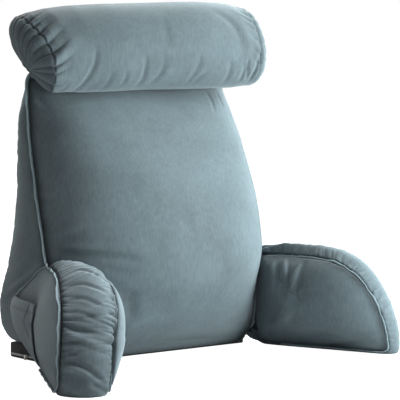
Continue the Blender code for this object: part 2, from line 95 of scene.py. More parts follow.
Level = namedtuple("Level", "z half_width y")
FRONT_SEAM = (
    Level(0.006, 0.250, -0.071),
    Level(0.060, 0.261, -0.083),
    Level(0.200, 0.267, -0.077),
    Level(0.320, 0.262, -0.043),
    Level(0.420, 0.255, -0.010),
    Level(0.490, 0.249, 0.010),
    Level(0.566, 0.243, 0.026),
)
REAR_SEAM = (
    Level(0.034, 0.248, 0.084),
    Level(0.060, 0.265, 0.090),
    Level(0.110, 0.273, 0.092),
    Level(0.200, 0.255, 0.077),
    Level(0.320, 0.242, 0.067),
    Level(0.420, 0.240, 0.063),
    Level(0.500, 0.238, 0.060),
    Level(0.552, 0.222, 0.057),
)
Crown = namedtuple("Crown", "z front side rear")
WEDGE_CROWN = (
    Crown(0.000, 0.030, 0.004, 0.004),
    Crown(0.060, 0.080, 0.012, 0.020),
    Crown(0.150, 0.112, 0.016, 0.036),
    Crown(0.250, 0.118, 0.015, 0.044),
    Crown(0.350, 0.114, 0.012, 0.044),
    Crown(0.450, 0.098, 0.010, 0.034),
    Crown(0.520, 0.074, 0.003, 0.020),
    Crown(0.566, 0.030, 0.001, 0.008),
)
Dome = namedtuple("Dome", "z power root spread")
WEDGE_DOME = (
    Dome(0.000, 2.3, 0.90, -0.004),
    Dome(0.080, 2.3, 0.90, -0.008),
    Dome(0.150, 2.4, 0.80, -0.005),
    Dome(0.220, 2.8, 0.62, 0.003),
    Dome(0.300, 3.0, 0.52, 0.009),
    Dome(0.400, 3.4, 0.50, 0.011),
    Dome(0.500, 4.0, 0.50, 0.011),
    Dome(0.566, 4.0, 0.50, 0.008),
)
WEDGE_TOP = 0.5600
WEDGE_TOP_RISE = 0.0060
WEDGE_TOP_SAG = 0.010
WEDGE_EAR_START = 0.198
WEDGE_EAR_SLOPE = 0.091
WEDGE_CENTRE = (0.0, 0.270)
BACK_PANEL_RINGS = 42
BACK_SIDE_RINGS = 26
BACK_REAR_RINGS = 24
HalfCorner = namedtuple("HalfCorner", "name start up radius arc_steps line_steps")
WEDGE_FOOT = HalfCorner("foot", 0.84, 0.006, 0.040, 16, 190)
WEDGE_EAR = HalfCorner("ear", 0.92, 0.568, 0.022, 18, 80)

ARM_ROOT_X = 0.262
ARM_ROOT_Y = -0.085
ARM_SPLAY = math.radians(18.5)
Corner = namedtuple("Corner", "name along out up reach arc_steps line_steps")
INNER_SEAM = (
    Corner("toe", 0.318, 0.006, 0.004, 0.024, 4, 8),
    Corner("hand", 0.314, -0.052, 0.207, 0.160, 27, 18),
    Corner("shoulder", 0.004, 0.000, 0.192, 0.020, 3, 3),
    Corner("back", 0.000, 0.000, 0.120, 0.015, 2, 2),
    Corner("rump", 0.000, 0.000, 0.070, 0.015, 2, 2),
    Corner("heel", 0.004, 0.000, 0.004, 0.015, 3, 7),
)
OUTER_SEAM = (
    Corner("toe", 0.294, 0.070, 0.004, 0.026, 4, 8),
    Corner("hand", 0.296, 0.060, 0.213, 0.155, 27, 18),
    Corner("shoulder", -0.005, 0.006, 0.206, 0.035, 3, 3),
    Corner("back", -0.094, 0.045, 0.130, 0.022, 2, 2),
    Corner("rump", -0.084, 0.044, 0.076, 0.025, 2, 2),
    Corner("heel", -0.040, 0.018, 0.004, 0.030, 3, 7),
)
ARM_DETAIL = 8               # outline points to each of the seams' steps
INNER_MIDDLE = (0.150, -0.020, 0.100)
OUTER_MIDDLE = (0.100, 0.046, 0.104)
ARM_INNER_CROWN = 0.046
ARM_OUTER_CROWN = 0.014
ARM_TUCK = 0.050
ARM_LEFT_INNER_TUCK = 0.095
ARM_STRIP_CROWN = 0.022
# Each arm: its size against the seams above, how far its fine gathers reach, how strong its broad ones
# are, how much painted shade darkens its strip and its panels beside the seams and how far off them that
# reaches, and how far its inner flange has fallen over onto the panel (below 0, onto the strip).
Arm = namedtuple("Arm", "name size fine_reach broad_share strip_shade panel_shade shade_reach inner_over")
ARMS = {
    -1: Arm("left", np.array((1.07, 1.05, 0.955)), 0.030, 0.70, 0.90, 0.20, 0.0095, 1.50),
    1: Arm("right", np.array((0.98, 1.00, 1.00)), 0.018, 0.45, 0.20, 0.95, 0.0135, -0.35),
}
ARM_OUTER_OVER = 0.15
# The left arm's toe leans inward: from where along the arm, over what length and height, and how far.
TOE_START = 0.18
TOE_LENGTH = 0.12
TOE_HEIGHT = 0.10
TOE_LEAN = 0.020
LEFT_ARM_RISE = 0.035        # how much higher the left arm's inner seam gets, and over what length
LEFT_ARM_RISE_LENGTH = 0.15
RIGHT_ARM_SLIMMER = 0.040
LEFT_PANEL_FLATTER = 0.45    # how much flatter the left arm's inner panel gets, from this height up
LEFT_PANEL_FLAT_FROM = 0.040
LEFT_PANEL_FLAT_OVER = 0.150
STRIP_CROWN_START = 0.07     # the strip's crown rises over this much of the arm's length
ARM_FOLD_FLOOR = 0.02        # below this height the arm's folds fade
INNER_SEAM_PULL = 3.0
OUTER_SEAM_PULL = 1.5
ARM_PANEL_RINGS = 27
ARM_STRIP_RINGS = 46

POCKET_FRONT = 0.108
POCKET_TOP = 0.136
POCKET_BOTTOM = 0.022
POCKET_INSET = 0.012
POCKET_ROWS = 44
POCKET_COLUMNS = 64
POCKET_THICKNESS = 0.0022
POCKET_OFFSET = 0.0022       # how far its inner face stands off the arm
POCKET_BELLY = 0.010
POCKET_STITCHES = 0.80       # where across it the stitched line runs down
POCKET_STITCH_DEPTH = 0.0012
POCKET_SIGHT = 0.4           # how far outside the arm its surface is looked at from
POCKET_SIDE_SHADE = 0.0050   # how far painted shade darkens the arm's cloth beside the pocket, and at its mouth
POCKET_MOUTH_SHADE = 0.0130
POCKET_NEAR = 0.14           # no painted shade reaches further than this from the pocket's edge
POCKET_HEM_ROWS = 6
POCKET_HEM_RISE = 0.0007

# The seam flanges of the back: where each starts (height) and ends (distance from the middle), how much
# it points out of the seam and how much backward, and how far its tip curls over.
Flange = namedtuple("Flange", "side name start stop radial backward curl")
BACK_FLANGES = (
    Flange(-1, "left", 0.195, 0.216, 1.00, 0.10, 0.9),
    Flange(1, "right", 0.035, 0.228, 0.35, 0.94, 0.3),
)
FLANGE_RUFFLE = 0.10
ARM_FLANGE_RUFFLE = 0.15
# A flange leans to and fro in slow waves, each with its length and strength, and in a few short kinks.
SWAY_WAVES = ((0.026, 0.35), (0.055, 0.8), (0.110, 1.0))
KINK_LENGTH = 0.008
KINK_LEAN = 1.4
# Its width varies over two lengths and narrows at its ends; a curled end is widened and bent.
WIDTH_WAVE = 0.063
WIDTH_RIPPLE = 0.027
FLANGE_END = 0.008
CURL_WIDE_PLACE = 0.016
CURL_WIDE_LENGTH = 0.016
CURL_BEND_PLACE = 0.010
CURL_BEND_LENGTH = 0.014
# Beside the right arm the back's flange comes forward, below this height and within this much of it.
FORWARD_BELOW = 0.235
FORWARD_WITHIN = 0.030
FORWARD = (0.18, -0.98, 0.0)
# A flange's section: how far out of the seam, and how far to its side in half thicknesses.
FLANGE_PROFILE = (
    (-0.12, 0.50), (0.20, 0.60), (0.50, 0.85), (0.78, 1.00), (0.93, 0.85), (1.00, 0.35),
    (1.00, -0.35), (0.93, -0.85), (0.78, -1.00), (0.50, -0.85), (0.20, -0.60), (-0.12, -0.50),
)

Section = namedtuple("Section", "x y z long short lean pinch")
ROLL_SECTIONS = (
    Section(-0.2620, -0.029, 0.603, 0.094, 0.055, 42, 0.5),
    Section(-0.2450, -0.0285, 0.606, 0.096, 0.0595, 40, 0.5),
    Section(-0.2150, -0.027, 0.611, 0.096, 0.0660, 37, 0.6),
    Section(-0.1700, -0.025, 0.616, 0.095, 0.0715, 33, 0.8),
    Section(-0.1000, -0.024, 0.621, 0.094, 0.0750, 30, 0.9),
    Section(0.0000, -0.022, 0.628, 0.093, 0.076, 28, 1.0),
    Section(0.1300, -0.022, 0.635, 0.095, 0.076, 28, 1.0),
    Section(0.2250, -0.022, 0.638, 0.094, 0.073, 28, 1.0),
    Section(0.2620, -0.023, 0.637, 0.090, 0.069, 28, 0.9),
)
ROLL_LEFT_GATHER = (-0.2740, -0.028, 0.574)      # the spot where the left end's pleats meet
ROLL_LEFT_CROWN = 0.024
ROLL_RIGHT_GATHER = (0.2880, -0.030, 0.618)
ROLL_RIGHT_CROWN = 0.020
ROLL_STEPS = 300
ROLL_ROWS = 190
ROLL_END_ROWS = 26
PLEATS_DRAWN_REACH = 0.030   # how far the gathering draws the roll in beside its end seams
ROLL_SEAM_REACH = 0.0018
ROLL_SLANT = 0.026           # how far out the left end seam's upper front lies
ROLL_SLANT_REACH = 0.075

CUSHION_GAP = 0.0008         # between cushions that press on each other
FLANGE_GAP = 0.0006          # between a flange and the back cushion
PRESS_SEARCH = 0.12          # how far away a pressing neighbour is looked for
FULL_TURN = 6.3              # a whole turn, a little rounded up

# Uneven swells: how far apart and how high.
BACK_RUMPLE = (0.11, 0.0016)
ROLL_RUMPLE = (0.09, 0.0012)
ARM_RUMPLE = (0.08, 0.0010)
RUMPLE_WAVES = 14

# Puffed folds along a seam: their spacing, how far they reach from it, their height as a share of the
# depth set in the sidebar, and how much they swing to the side.
Folds = namedtuple("Folds", "spacing extent share lean")
BACK_SMALL_FOLDS = Folds(0.016, 0.012, 1.0, 0.2)
BACK_BROAD_FOLDS = Folds(0.055, 0.050, 1.3, 0.5)
ROLL_PLEATS = Folds(0.023, 0.026, 1.0, 0.0)
ARM_FINE_GATHERS = Folds(0.0115, 0.030, 1.0, 0.25)
ARM_BROAD_GATHERS = Folds(0.026, 0.062, 1.0, 0.30)
ARM_PANEL_FOLDS = Folds(0.018, 0.010, 1.0, 0.2)
FOLD_SHIFT = 0.33            # how far a valley strays from its even place, in spacings
FOLD_HEIGHTS = (0.40, 1.25)
FOLD_EXTENTS = (0.40, 1.40)
FOLD_SWING = 0.16            # the seam length over which the folds swing once to and fro
GROOVE_REACH = 0.0034
STITCH_REACH = 0.0036        # how far the folds stay away from the sewn line

# Creases: the spots of the photograph that each one passes, counted from its top left
# corner, then how wide and how deep it is in metres (a ridge is negative).
PHOTO_SIZE = 400
Crease = namedtuple("Crease", "spots width depth")
BACK_CREASES = (
    Crease(((61, 253), (79, 255), (99, 255), (123, 257), (141, 261)), 0.0110, 0.0034),
    Crease(((105, 267), (119, 271), (135, 275)), 0.0090, 0.0022),
    Crease(((111, 283), (123, 291), (137, 297)), 0.0110, 0.0026),
    Crease(((127, 293), (131, 303), (133, 315)), 0.0130, 0.0052),
    Crease(((53, 239), (67, 231), (85, 227)), 0.0120, -0.0016),
    Crease(((9, 291), (21, 281), (33, 271), (43, 263)), 0.0080, -0.0034),
    Crease(((7, 299), (19, 289), (29, 279)), 0.0090, 0.0024),
    Crease(((33, 197), (47, 195), (63, 195)), 0.0080, -0.0012),
    Crease(((61, 247), (81, 247), (105, 249)), 0.0090, -0.0016),
    Crease(((33, 99), (37, 103), (43, 109)), 0.0060, -0.0020),
    Crease(((207, 93), (211, 101), (215, 113)), 0.0060, 0.0018),
    Crease(((217, 93), (219, 99), (223, 107)), 0.0050, 0.0016),
    Crease(((61, 109), (91, 103), (121, 101)), 0.0120, -0.0012),
    Crease(((125, 331), (141, 321), (165, 319)), 0.0160, -0.0016),
    Crease(((151, 345), (181, 339), (215, 337)), 0.0120, 0.0016),
)
ROLL_CREASES = (
    Crease(((73, 91), (81, 85), (89, 75), (95, 63), (97, 49)), 0.0085, 0.0034),
    Crease(((57, 91), (63, 89), (69, 85)), 0.0068, 0.0022),
    Crease(((121, 85), (125, 79), (127, 71)), 0.0075, 0.0020),
    Crease(((137, 85), (143, 77), (145, 69), (147, 57)), 0.0075, 0.0032),
    Crease(((151, 83), (157, 77), (163, 69), (165, 57)), 0.0090, 0.0022),
    Crease(((187, 83), (193, 75), (199, 65), (201, 55)), 0.0090, 0.0022),
    Crease(((193, 83), (199, 77), (207, 73)), 0.0080, 0.0018),
    Crease(((223, 83), (229, 73), (231, 61)), 0.0090, 0.0018),
    Crease(((239, 81), (243, 73), (245, 63)), 0.0075, 0.0022),
    Crease(((249, 81), (253, 73), (257, 63), (261, 53)), 0.0075, 0.0036),
    Crease(((247, 79), (247, 69), (249, 59)), 0.0065, 0.0024),
    Crease(((213, 11), (229, 21), (239, 35), (243, 51)), 0.0150, 0.0016),
    Crease(((101, 89), (109, 81), (113, 71)), 0.0100, 0.0014),
    Crease(((161, 15), (167, 31), (167, 47)), 0.0120, 0.0008),
)
ARM_CREASES = {
    -1: (
        Crease(((65, 327), (77, 331), (91, 333), (109, 337)), 0.0062, 0.0060),
        Crease(((65, 361), (73, 363), (85, 367), (95, 375), (103, 383)), 0.0062, 0.0044),
        Crease(((65, 339), (71, 341), (83, 343)), 0.0058, 0.0036),
        Crease(((65, 351), (77, 355)), 0.0055, 0.0028),
        Crease(((93, 385), (101, 389), (107, 391)), 0.0060, 0.0034),
        Crease(((67, 333), (81, 339), (97, 343)), 0.0080, -0.0034),
        Crease(((65, 369), (77, 371), (89, 377)), 0.0080, -0.0030),
        Crease(((67, 301), (81, 299), (97, 305), (111, 315)), 0.0058, 0.0036),
        Crease(((67, 287), (81, 285), (97, 289), (113, 299)), 0.0056, 0.0030),
        Crease(((67, 313), (79, 313), (95, 319), (113, 329)), 0.0056, 0.0030),
        Crease(((67, 275), (81, 271), (95, 275), (109, 285)), 0.0056, 0.0030),
    ),
    1: (
        Crease(((285, 261), (285, 269), (285, 277), (281, 285), (277, 295)), 0.0065, -0.0070),
        Crease(((299, 267), (295, 275), (291, 287), (285, 303), (279, 319)), 0.0065, -0.0082),
        Crease(((293, 295), (289, 309), (285, 321)), 0.0100, -0.0040),
        Crease(((273, 263), (273, 275), (273, 291)), 0.0080, -0.0050),
        Crease(((289, 267), (289, 277), (285, 291)), 0.0060, 0.0020),
        Crease(((279, 265), (279, 275), (275, 291)), 0.0060, 0.0020),
        Crease(((305, 259), (303, 273), (299, 289), (291, 307)), 0.0090, 0.0018),
        Crease(((275, 305), (273, 319), (271, 333)), 0.0140, 0.0024),
        Crease(((325, 345), (345, 343), (367, 337)), 0.0150, 0.0026),
        Crease(((301, 339), (323, 333), (341, 337)), 0.0160, 0.0018),
    ),
}
# A crease is measured from its own bottom or crest, which lies this share of its depth off the plain
# cloth, and at most so far.
CREASE_LIFT = 0.8
CREASE_LIFT_LIMIT = 0.0032
GRAZING_SIGHT = 0.4          # sight that grazes the cloth more than this goes no further behind it
CREASE_STEPS = 5
CREASE_SHADE = 0.32          # how much painted shade darkens the cloth in the deepest troughs, and painted highlight lightens it on the highest ridges
CREASE_FULL_SHADE = 0.004    # the depth from which a crease is shaded in full

Camera = namedtuple("Camera", "azimuth elevation distance lens target")
VIEW = Camera(-38.876, 2.809, 3.2, 139.48, (0.102, -0.090, 0.313))
SENSOR_WIDTH = 36.0
Light = namedtuple("Light", "name place target size colour spread")
LIGHTS = (
    Light("key", (1.45, -0.40, 1.00), (0.00, -0.10, 0.30), (0.90, 0.80), (0.90, 1.00, 1.00), 180.0),
    Light("back", (0.60, 1.20, 2.00), (0.00, -0.10, 0.20), (1.20, 0.80), (1.00, 0.96, 0.90), 180.0),
    Light("front", (0.62, -1.10, 0.56), (0.00, -0.30, 0.12), (0.60, 0.30), (0.93, 1.00, 1.00), 180.0),
    Light("arm", (0.10, -0.90, 1.30), (-0.37, -0.33, 0.13), (0.25, 0.25), (1.00, 1.00, 1.00), 24.0),
)


# ---------------------------------------------------------------- settings shown in the sidebar
class PillowClothSettings(bpy.types.PropertyGroup):
    """Colours and surface of the cloths."""

    cloth_colour: bpy.props.FloatVectorProperty(
        name="Cloth", description="Colour of the pillow's brushed cloth",
        default=(0.100, 0.131, 0.147), size=3, min=0.0, max=1.0, subtype="COLOR")
    base_colour: bpy.props.FloatVectorProperty(
        name="Base", description="Colour of the coarse cloth on the base",
        default=(0.022, 0.022, 0.020), size=3, min=0.0, max=1.0, subtype="COLOR")
    tape_colour: bpy.props.FloatVectorProperty(
        name="Zip tape", description="Colour of the zip's tape and teeth",
        default=(0.45, 0.46, 0.46), size=3, min=0.0, max=1.0, subtype="COLOR")
    nap: bpy.props.FloatProperty(
        name="Nap", description="How strongly the brushed nap shades the cloth",
        default=0.20, min=0.0, max=1.0, subtype="FACTOR")
    weave_depth: bpy.props.FloatProperty(
        name="Weave depth", description="Height of the cloth's grain",
        default=0.00012, min=0.0, max=0.001, precision=5, unit="LENGTH")


class PillowShapeSettings(bpy.types.PropertyGroup):
    """Depths of the seams' puckers, gathers and flanges."""

    pucker_depth: bpy.props.FloatProperty(
        name="Pucker depth", description="Height of the short folds along plain seams",
        default=0.0012, min=0.0, max=0.01, precision=4, unit="LENGTH")
    gather_depth: bpy.props.FloatProperty(
        name="Gather depth", description="Height of the gathers across the arms",
        default=0.0050, min=0.0, max=0.01, precision=4, unit="LENGTH")
    pleat_depth: bpy.props.FloatProperty(
        name="Pleat depth", description="Height of the pleats gathered at the neck roll's ends",
        default=0.0090, min=0.0, max=0.02, precision=4, unit="LENGTH")
    groove_depth: bpy.props.FloatProperty(
        name="Groove depth", description="How far the sewn seams pull the cloth in",
        default=0.0024, min=0.0, max=0.01, precision=4, unit="LENGTH")
    flange_width: bpy.props.FloatProperty(
        name="Flange width", description="How far the seam flanges stand out",
        default=0.0102, min=0.010, max=0.02, precision=4, unit="LENGTH")
    flange_thickness: bpy.props.FloatProperty(
        name="Flange thickness", description="Two layers of cloth",
        default=0.0028, min=0.001, max=0.004, precision=4, unit="LENGTH")


class PillowStudioSettings(bpy.types.PropertyGroup):
    """Floor and lights."""

    floor_colour: bpy.props.FloatVectorProperty(
        name="Floor", description="Colour of the pale floor",
        default=(0.62, 0.62, 0.62), size=3, min=0.0, max=1.0, subtype="COLOR")
    floor_glow: bpy.props.FloatProperty(
        name="Floor glow", description="Evens out the floor's brightness away from the lights",
        default=1.0, min=0.0, max=2.0)
    key_power: bpy.props.FloatProperty(
        name="Key light", description="Power of the large light at the right",
        default=54.0, min=0.0, max=2000.0, unit="POWER")
    back_power: bpy.props.FloatProperty(
        name="Back light", description="Power of the light from above and behind",
        default=45.0, min=0.0, max=2000.0, unit="POWER")
    front_power: bpy.props.FloatProperty(
        name="Front light", description="Power of the low light in front at the right",
        default=18.5, min=0.0, max=2000.0, unit="POWER")
    arm_power: bpy.props.FloatProperty(
        name="Arm light", description="Power of the narrow light on the left arm",
        default=0.4, min=0.0, max=2000.0, unit="POWER")
    fill_strength: bpy.props.FloatProperty(
        name="Surroundings", description="Brightness of the light from all round",
        default=0.36, min=0.0, max=10.0)


# ---------------------------------------------------------------- shape helpers
def read(rows, column, position, key="z"):
    """A column of a table at any position, with its corners rounded."""
    keys = [getattr(row, key) for row in rows]
    values = [getattr(row, column) for row in rows]
    window = 0.25 * (keys[-1] - keys[0]) / len(rows)
    shifts = np.linspace(-1.0, 1.0, 9)
    return sum(np.interp(position + shift * window, keys, values) for shift in shifts) / len(shifts)


def spline(values, places):
    """Values of a table's column at fractional row numbers, on a smooth curve through the rows."""
    values = np.asarray(values, dtype=float)
    row = np.clip(np.floor(places).astype(int), 0, len(values) - 2)
    share = places - row
    before = values[np.maximum(row - 1, 0)]
    here = values[row]
    after = values[row + 1]
    beyond = values[np.minimum(row + 2, len(values) - 1)]
    return 0.5 * (
        2 * here
        + (after - before) * share
        + (2 * before - 5 * here + 4 * after - beyond) * share ** 2
        + (3 * here - before - 3 * after + beyond) * share ** 3
    )


def unit(vectors):
    """Vectors scaled to length one."""
    return vectors / np.maximum(np.linalg.norm(vectors, axis=-1, keepdims=True), 1e-9)


def corner_spot(corner):
    """A corner's place along, out and up."""
    return np.array((corner.along, corner.out, corner.up))


def rounded_outline(corners, detail):
    """Points along a closed seam of straight stretches and rounded corners."""
    points = []
    for index, corner in enumerate(corners):
        following = corners[(index + 1) % len(corners)]
        here = corner_spot(corner)
        ahead = corner_spot(following)
        start = here + unit(corner_spot(corners[index - 1]) - here) * corner.reach
        end = here + unit(ahead - here) * corner.reach
        stop = ahead + unit(here - ahead) * following.reach
        for step in range(corner.arc_steps * detail):
            share = step / (corner.arc_steps * detail)
            points.append(start * (1 - share) ** 2 + here * 2 * share * (1 - share) + end * share ** 2)
        for step in range(corner.line_steps * detail):
            points.append(end + (stop - end) * step / (corner.line_steps * detail))
    return np.array(points)


def grid_normals(grid):
    """The outward direction at each point of a body's loops."""
    across = np.gradient(grid, axis=0)
    along = np.roll(grid, -1, axis=1) - np.roll(grid, 1, axis=1)
    normals = unit(np.cross(across, along))
    middle = grid.mean(axis=(0, 1))
    if np.sum(normals * (grid - middle)) < 0.0:
        normals = -normals
    return normals


def arc_and_reach(grid, seam):
    """Each point's place along a seam loop, and its distance from that seam, with the seam's length."""
    loop = grid[seam]
    steps = np.linalg.norm(np.roll(loop, -1, axis=0) - loop, axis=1)
    arc = np.concatenate(((0.0,), np.cumsum(steps)[:-1]))
    lengths = np.linalg.norm(np.diff(grid, axis=0), axis=2)
    walked = np.concatenate((np.zeros((1, grid.shape[1])), np.cumsum(lengths, axis=0)))
    return np.broadcast_to(arc, grid.shape[:2]), np.abs(walked - walked[seam]), steps.sum()


def hills(arc, reach, length, folds, depth, seed):
    """Puffed folds side by side along a seam, with sharp valleys between, fading away from it."""
    chance = np.random.default_rng(seed)
    count = max(int(round(length / folds.spacing)), 3)
    valleys = (np.arange(count) + chance.uniform(-FOLD_SHIFT, FOLD_SHIFT, count)) * length / count
    heights = folds.share * depth * chance.uniform(*FOLD_HEIGHTS, count)
    extents = folds.extent * chance.uniform(*FOLD_EXTENTS, count)
    turns = max(round(length / FOLD_SWING), 1)
    swing = folds.lean * reach * np.sin(2 * np.pi * arc * turns / length + chance.uniform(0.0, FULL_TURN))
    place = np.mod(arc + swing, length)
    after = np.searchsorted(valleys, place)
    low = np.where(after > 0, valleys[after - 1], valleys[-1] - length)
    high = np.where(after < count, valleys[np.minimum(after, count - 1)], valleys[0] + length)
    share = np.clip((place - low) / (high - low), 0.0, 1.0)
    hill = np.sin(np.pi * share) ** 0.75 * np.sqrt((high - low) / folds.spacing)
    chosen = np.mod(after, count)
    return heights[chosen] * hill * np.exp(-(reach / extents[chosen]) ** 2)


def groove(reach, depth):
    """How far a sewn seam pulls the cloth in on both its sides."""
    return -depth * np.exp(-(reach / GROOVE_REACH) ** 2)


def fold_shade(reach, spread=0.0050):
    """How strongly painted shade darkens the cloth close beside a seam."""
    return np.exp(-(reach / spread) ** 2)


def beside(reach):
    """Zero on a seam's stitches and one a little way off, so that the sewn line itself runs smooth."""
    return 1.0 - np.exp(-(reach / STITCH_REACH) ** 2)


def camera_axes():
    """The camera's right, up and backward directions."""
    turn = math.radians(VIEW.azimuth)
    tilt = math.radians(VIEW.elevation)
    back = Vector((math.sin(turn) * math.cos(tilt), -math.cos(turn) * math.cos(tilt), math.sin(tilt)))
    right = Vector((math.cos(turn), math.sin(turn), 0.0))
    return right, back.cross(right), back


def spots_on(tree, spots):
    """Where the camera sees spots of the photograph on a surface, and the way on behind it.

    The way is along the camera's sight, and as long as it takes to get one metre below the surface.
    """
    right, up, back = camera_axes()
    eye = Vector(VIEW.target) + back * VIEW.distance
    pixel = SENSOR_WIDTH / VIEW.lens / PHOTO_SIZE
    places = []
    ways = []
    for across, down in spots:
        sight = right * (across - PHOTO_SIZE / 2) * pixel + up * (PHOTO_SIZE / 2 - down) * pixel - back
        sight.normalize()
        place, facing, _, _ = tree.ray_cast(eye, sight)
        if place is None:
            raise RuntimeError(f"no cloth lies behind the spot {across}, {down}")
        places.append(place)
        ways.append(sight / max(abs(facing.dot(sight)), GRAZING_SIGHT))
    return np.array(places), np.array(ways)


def crease_fade(share):
    """How strong a crease is along its length: soft at both ends."""
    return np.sin(np.pi * np.clip(share, 0.03, 0.97)) ** 0.6


def crease_path(tree, crease):
    """Points along a trough's bottom or a ridge's crest, as the camera sees it at the crease's spots."""
    places, ways = spots_on(tree, crease.spots)
    rows = np.linspace(0.0, len(places) - 1.0, CREASE_STEPS * len(places))
    lift = np.clip(CREASE_LIFT * crease.depth, -CREASE_LIFT_LIMIT, CREASE_LIFT_LIMIT)
    share = np.arange(len(places)) / (len(places) - 1)
    places += ways * (lift * crease_fade(share))[:, None]
    return np.stack([spline(column, rows) for column in places.T], axis=1)


def creased(grid, normals, creases, crevice):
    """Loops with soft troughs or ridges pressed in along listed paths, with painted shade along the troughs
    and painted highlights along the ridges.
    """
    tree = loops_tree(grid)
    for crease in creases:
        path = crease_path(tree, crease)
        nearest = np.full(grid.shape[:2], np.inf)
        share = np.zeros(grid.shape[:2])
        for step in range(len(path) - 1):
            along = path[step + 1] - path[step]
            here = np.clip((grid - path[step]) @ along / (along @ along), 0.0, 1.0)
            distance = np.linalg.norm(grid - path[step] - here[..., None] * along, axis=2)
            closer = distance < nearest
            nearest = np.where(closer, distance, nearest)
            share = np.where(closer, (step + here) / (len(path) - 1), share)
        across = nearest / crease.width
        fade = crease_fade(share)
        dent = crease.depth * fade * (1.0 - 0.8 * across ** 2) * np.exp(-across ** 2)
        grid = grid - normals * dent[..., None]
        # Painted shade darkens the cloth along a trough, and a painted highlight lightens it along a ridge.
        shade = CREASE_SHADE * np.clip(crease.depth / CREASE_FULL_SHADE, -1.0, 1.0)
        crevice = crevice + shade * fade * np.exp(-2.5 * across ** 2)
    return grid, crevice


def evened(values, reach):
    """Rows of values averaged with their neighbours along a run."""
    padded = np.concatenate((np.repeat(values[:1], reach, axis=0), values,
                             np.repeat(values[-1:], reach, axis=0)))
    window = np.hanning(2 * reach + 3)[1:-1]
    window /= window.sum()
    return np.stack([np.convolve(column, window, mode="valid") for column in padded.T], axis=1)


def off_seam(normals, index, steps, reach=14):
    """Directions that stand off a seam, midway between the panels that meet there."""
    return unit(evened(normals[index - 2][steps] + normals[index + 2][steps], reach))


def rumple(points, scale, height, seed):
    """A soft uneven swell over a surface, as loose filling gives."""
    chance = np.random.default_rng(seed)
    field = np.zeros(points.shape[:-1])
    for _ in range(RUMPLE_WAVES):
        wave = chance.normal(0.0, 1.0, 3) / scale
        field += np.sin(points @ wave + chance.uniform(0.0, FULL_TURN))
    return height * field / RUMPLE_WAVES ** 0.5


def press(points, tree, gap):
    """Points pushed out of a neighbour, as two full cushions flatten each other."""
    flat = points.reshape(-1, 3)
    pressed = flat.copy()
    for index, point in enumerate(flat):
        spot, normal, _, _ = tree.find_nearest(Vector(point), PRESS_SEARCH)
        if spot is None:
            continue
        if (Vector(point) - spot).dot(normal) < gap:
            pressed[index] = spot + normal * gap
    return pressed.reshape(points.shape)


def surface_tree(thing):
    """The surface of an object, ready for measuring against."""
    return BVHTree.FromPolygons(
        [vertex.co.copy() for vertex in thing.data.vertices],
        [tuple(face.vertices) for face in thing.data.polygons],
    )


def faces_between(rings, count):
    """Faces from each closed loop of points to the next."""
    faces = []
    for low in range(0, (rings - 1) * count, count):
        for step in range(count):
            after = (step + 1) % count
            faces.append((low + step, low + after, low + count + after, low + count + step))
    return faces


def loops_tree(grid):
    """The surface that a body's loops span, ready for measuring against."""
    points = [Vector(point) for point in grid.reshape(-1, 3)]
    return BVHTree.FromPolygons(points, faces_between(*grid.shape[:2]))


def clean_mesh(name, points, faces, flat=None):
    """A smooth closed mesh object at the origin, faces out, with an optional map in metres."""
    mesh = bpy.data.meshes.new(name)
    mesh.from_pydata([tuple(point) for point in points], [], faces)
    if flat is not None:
        layer = mesh.uv_layers.new(name="cut")
        corners = np.empty(len(mesh.loops), dtype=int)
        mesh.loops.foreach_get("vertex_index", corners)
        layer.data.foreach_set("uv", np.asarray(flat)[corners].ravel())
    shell = bmesh.new()
    shell.from_mesh(mesh)
    bmesh.ops.recalc_face_normals(shell, faces=shell.faces)
    if shell.calc_volume(signed=True) < 0.0:
        bmesh.ops.reverse_faces(shell, faces=shell.faces)
    shell.to_mesh(mesh)
    shell.free()
    mesh.shade_smooth()
    made = bpy.data.objects.new(name, mesh)
    bpy.context.scene.collection.objects.link(made)
    return made


def skin(name, first_pole, loops, last_pole, crevice):
    """A closed body made of loops between two end points, with the painted shade and painted highlights of
    its folds kept on its points.
    """
    count = len(loops[0])
    points = np.concatenate(([first_pole], np.concatenate(list(loops)), [last_pole]))
    faces = []
    base = 1 + (len(loops) - 1) * count
    last = len(points) - 1
    for step in range(count):
        following = (step + 1) % count
        faces.append((0, 1 + step, 1 + following))
        faces.append((base + step, last, base + following))
        for ring in range(len(loops) - 1):
            low = 1 + ring * count
            high = low + count
            faces.append((low + step, high + step, high + following, low + following))
    arc, _, _ = arc_and_reach(np.array(loops), len(loops) // 2)
    walked = np.linalg.norm(np.diff(np.array(loops), axis=0), axis=2).mean(axis=1)
    down = np.concatenate(((0.0,), np.cumsum(walked)))
    flat = np.stack((arc, np.broadcast_to(down[:, None], arc.shape)), axis=2).reshape(-1, 2)
    flat = np.concatenate((flat[:1], flat, flat[-1:]))
    made = clean_mesh(name, points, faces, flat)
    paint_shading(made, np.concatenate(((0.0,), np.ravel(crevice), (0.0,))))
    return made


def paint_shading(made, depths):
    """Keep how much painted shade darkens each point, as in deep folds and beside seams; negative values are
    painted highlights, as on ridges and flange rims.
    """
    layer = made.data.attributes.get("crevice") or made.data.attributes.new("crevice", "FLOAT", "POINT")
    layer.data.foreach_set("value", np.clip(depths, -1.0, 1.0).astype(np.float32))


def flange_sway(arc, ruffle, kinks, chance):
    """How far a flange leans to its side along its length: slow waves, and a few short kinks."""
    sway = np.zeros(len(arc))
    for period, share in SWAY_WAVES:
        turn = 2 * np.pi * arc / period * chance.uniform(0.85, 1.15)
        sway += share * np.sin(turn + chance.uniform(0.0, FULL_TURN))
    sway *= ruffle / 1.3
    for place in chance.uniform(0.06, 0.94, kinks) * arc[-1]:
        sway += chance.choice((-1.0, 1.0)) * KINK_LEAN * ruffle * np.exp(-((arc - place) / KINK_LENGTH) ** 2)
    return sway


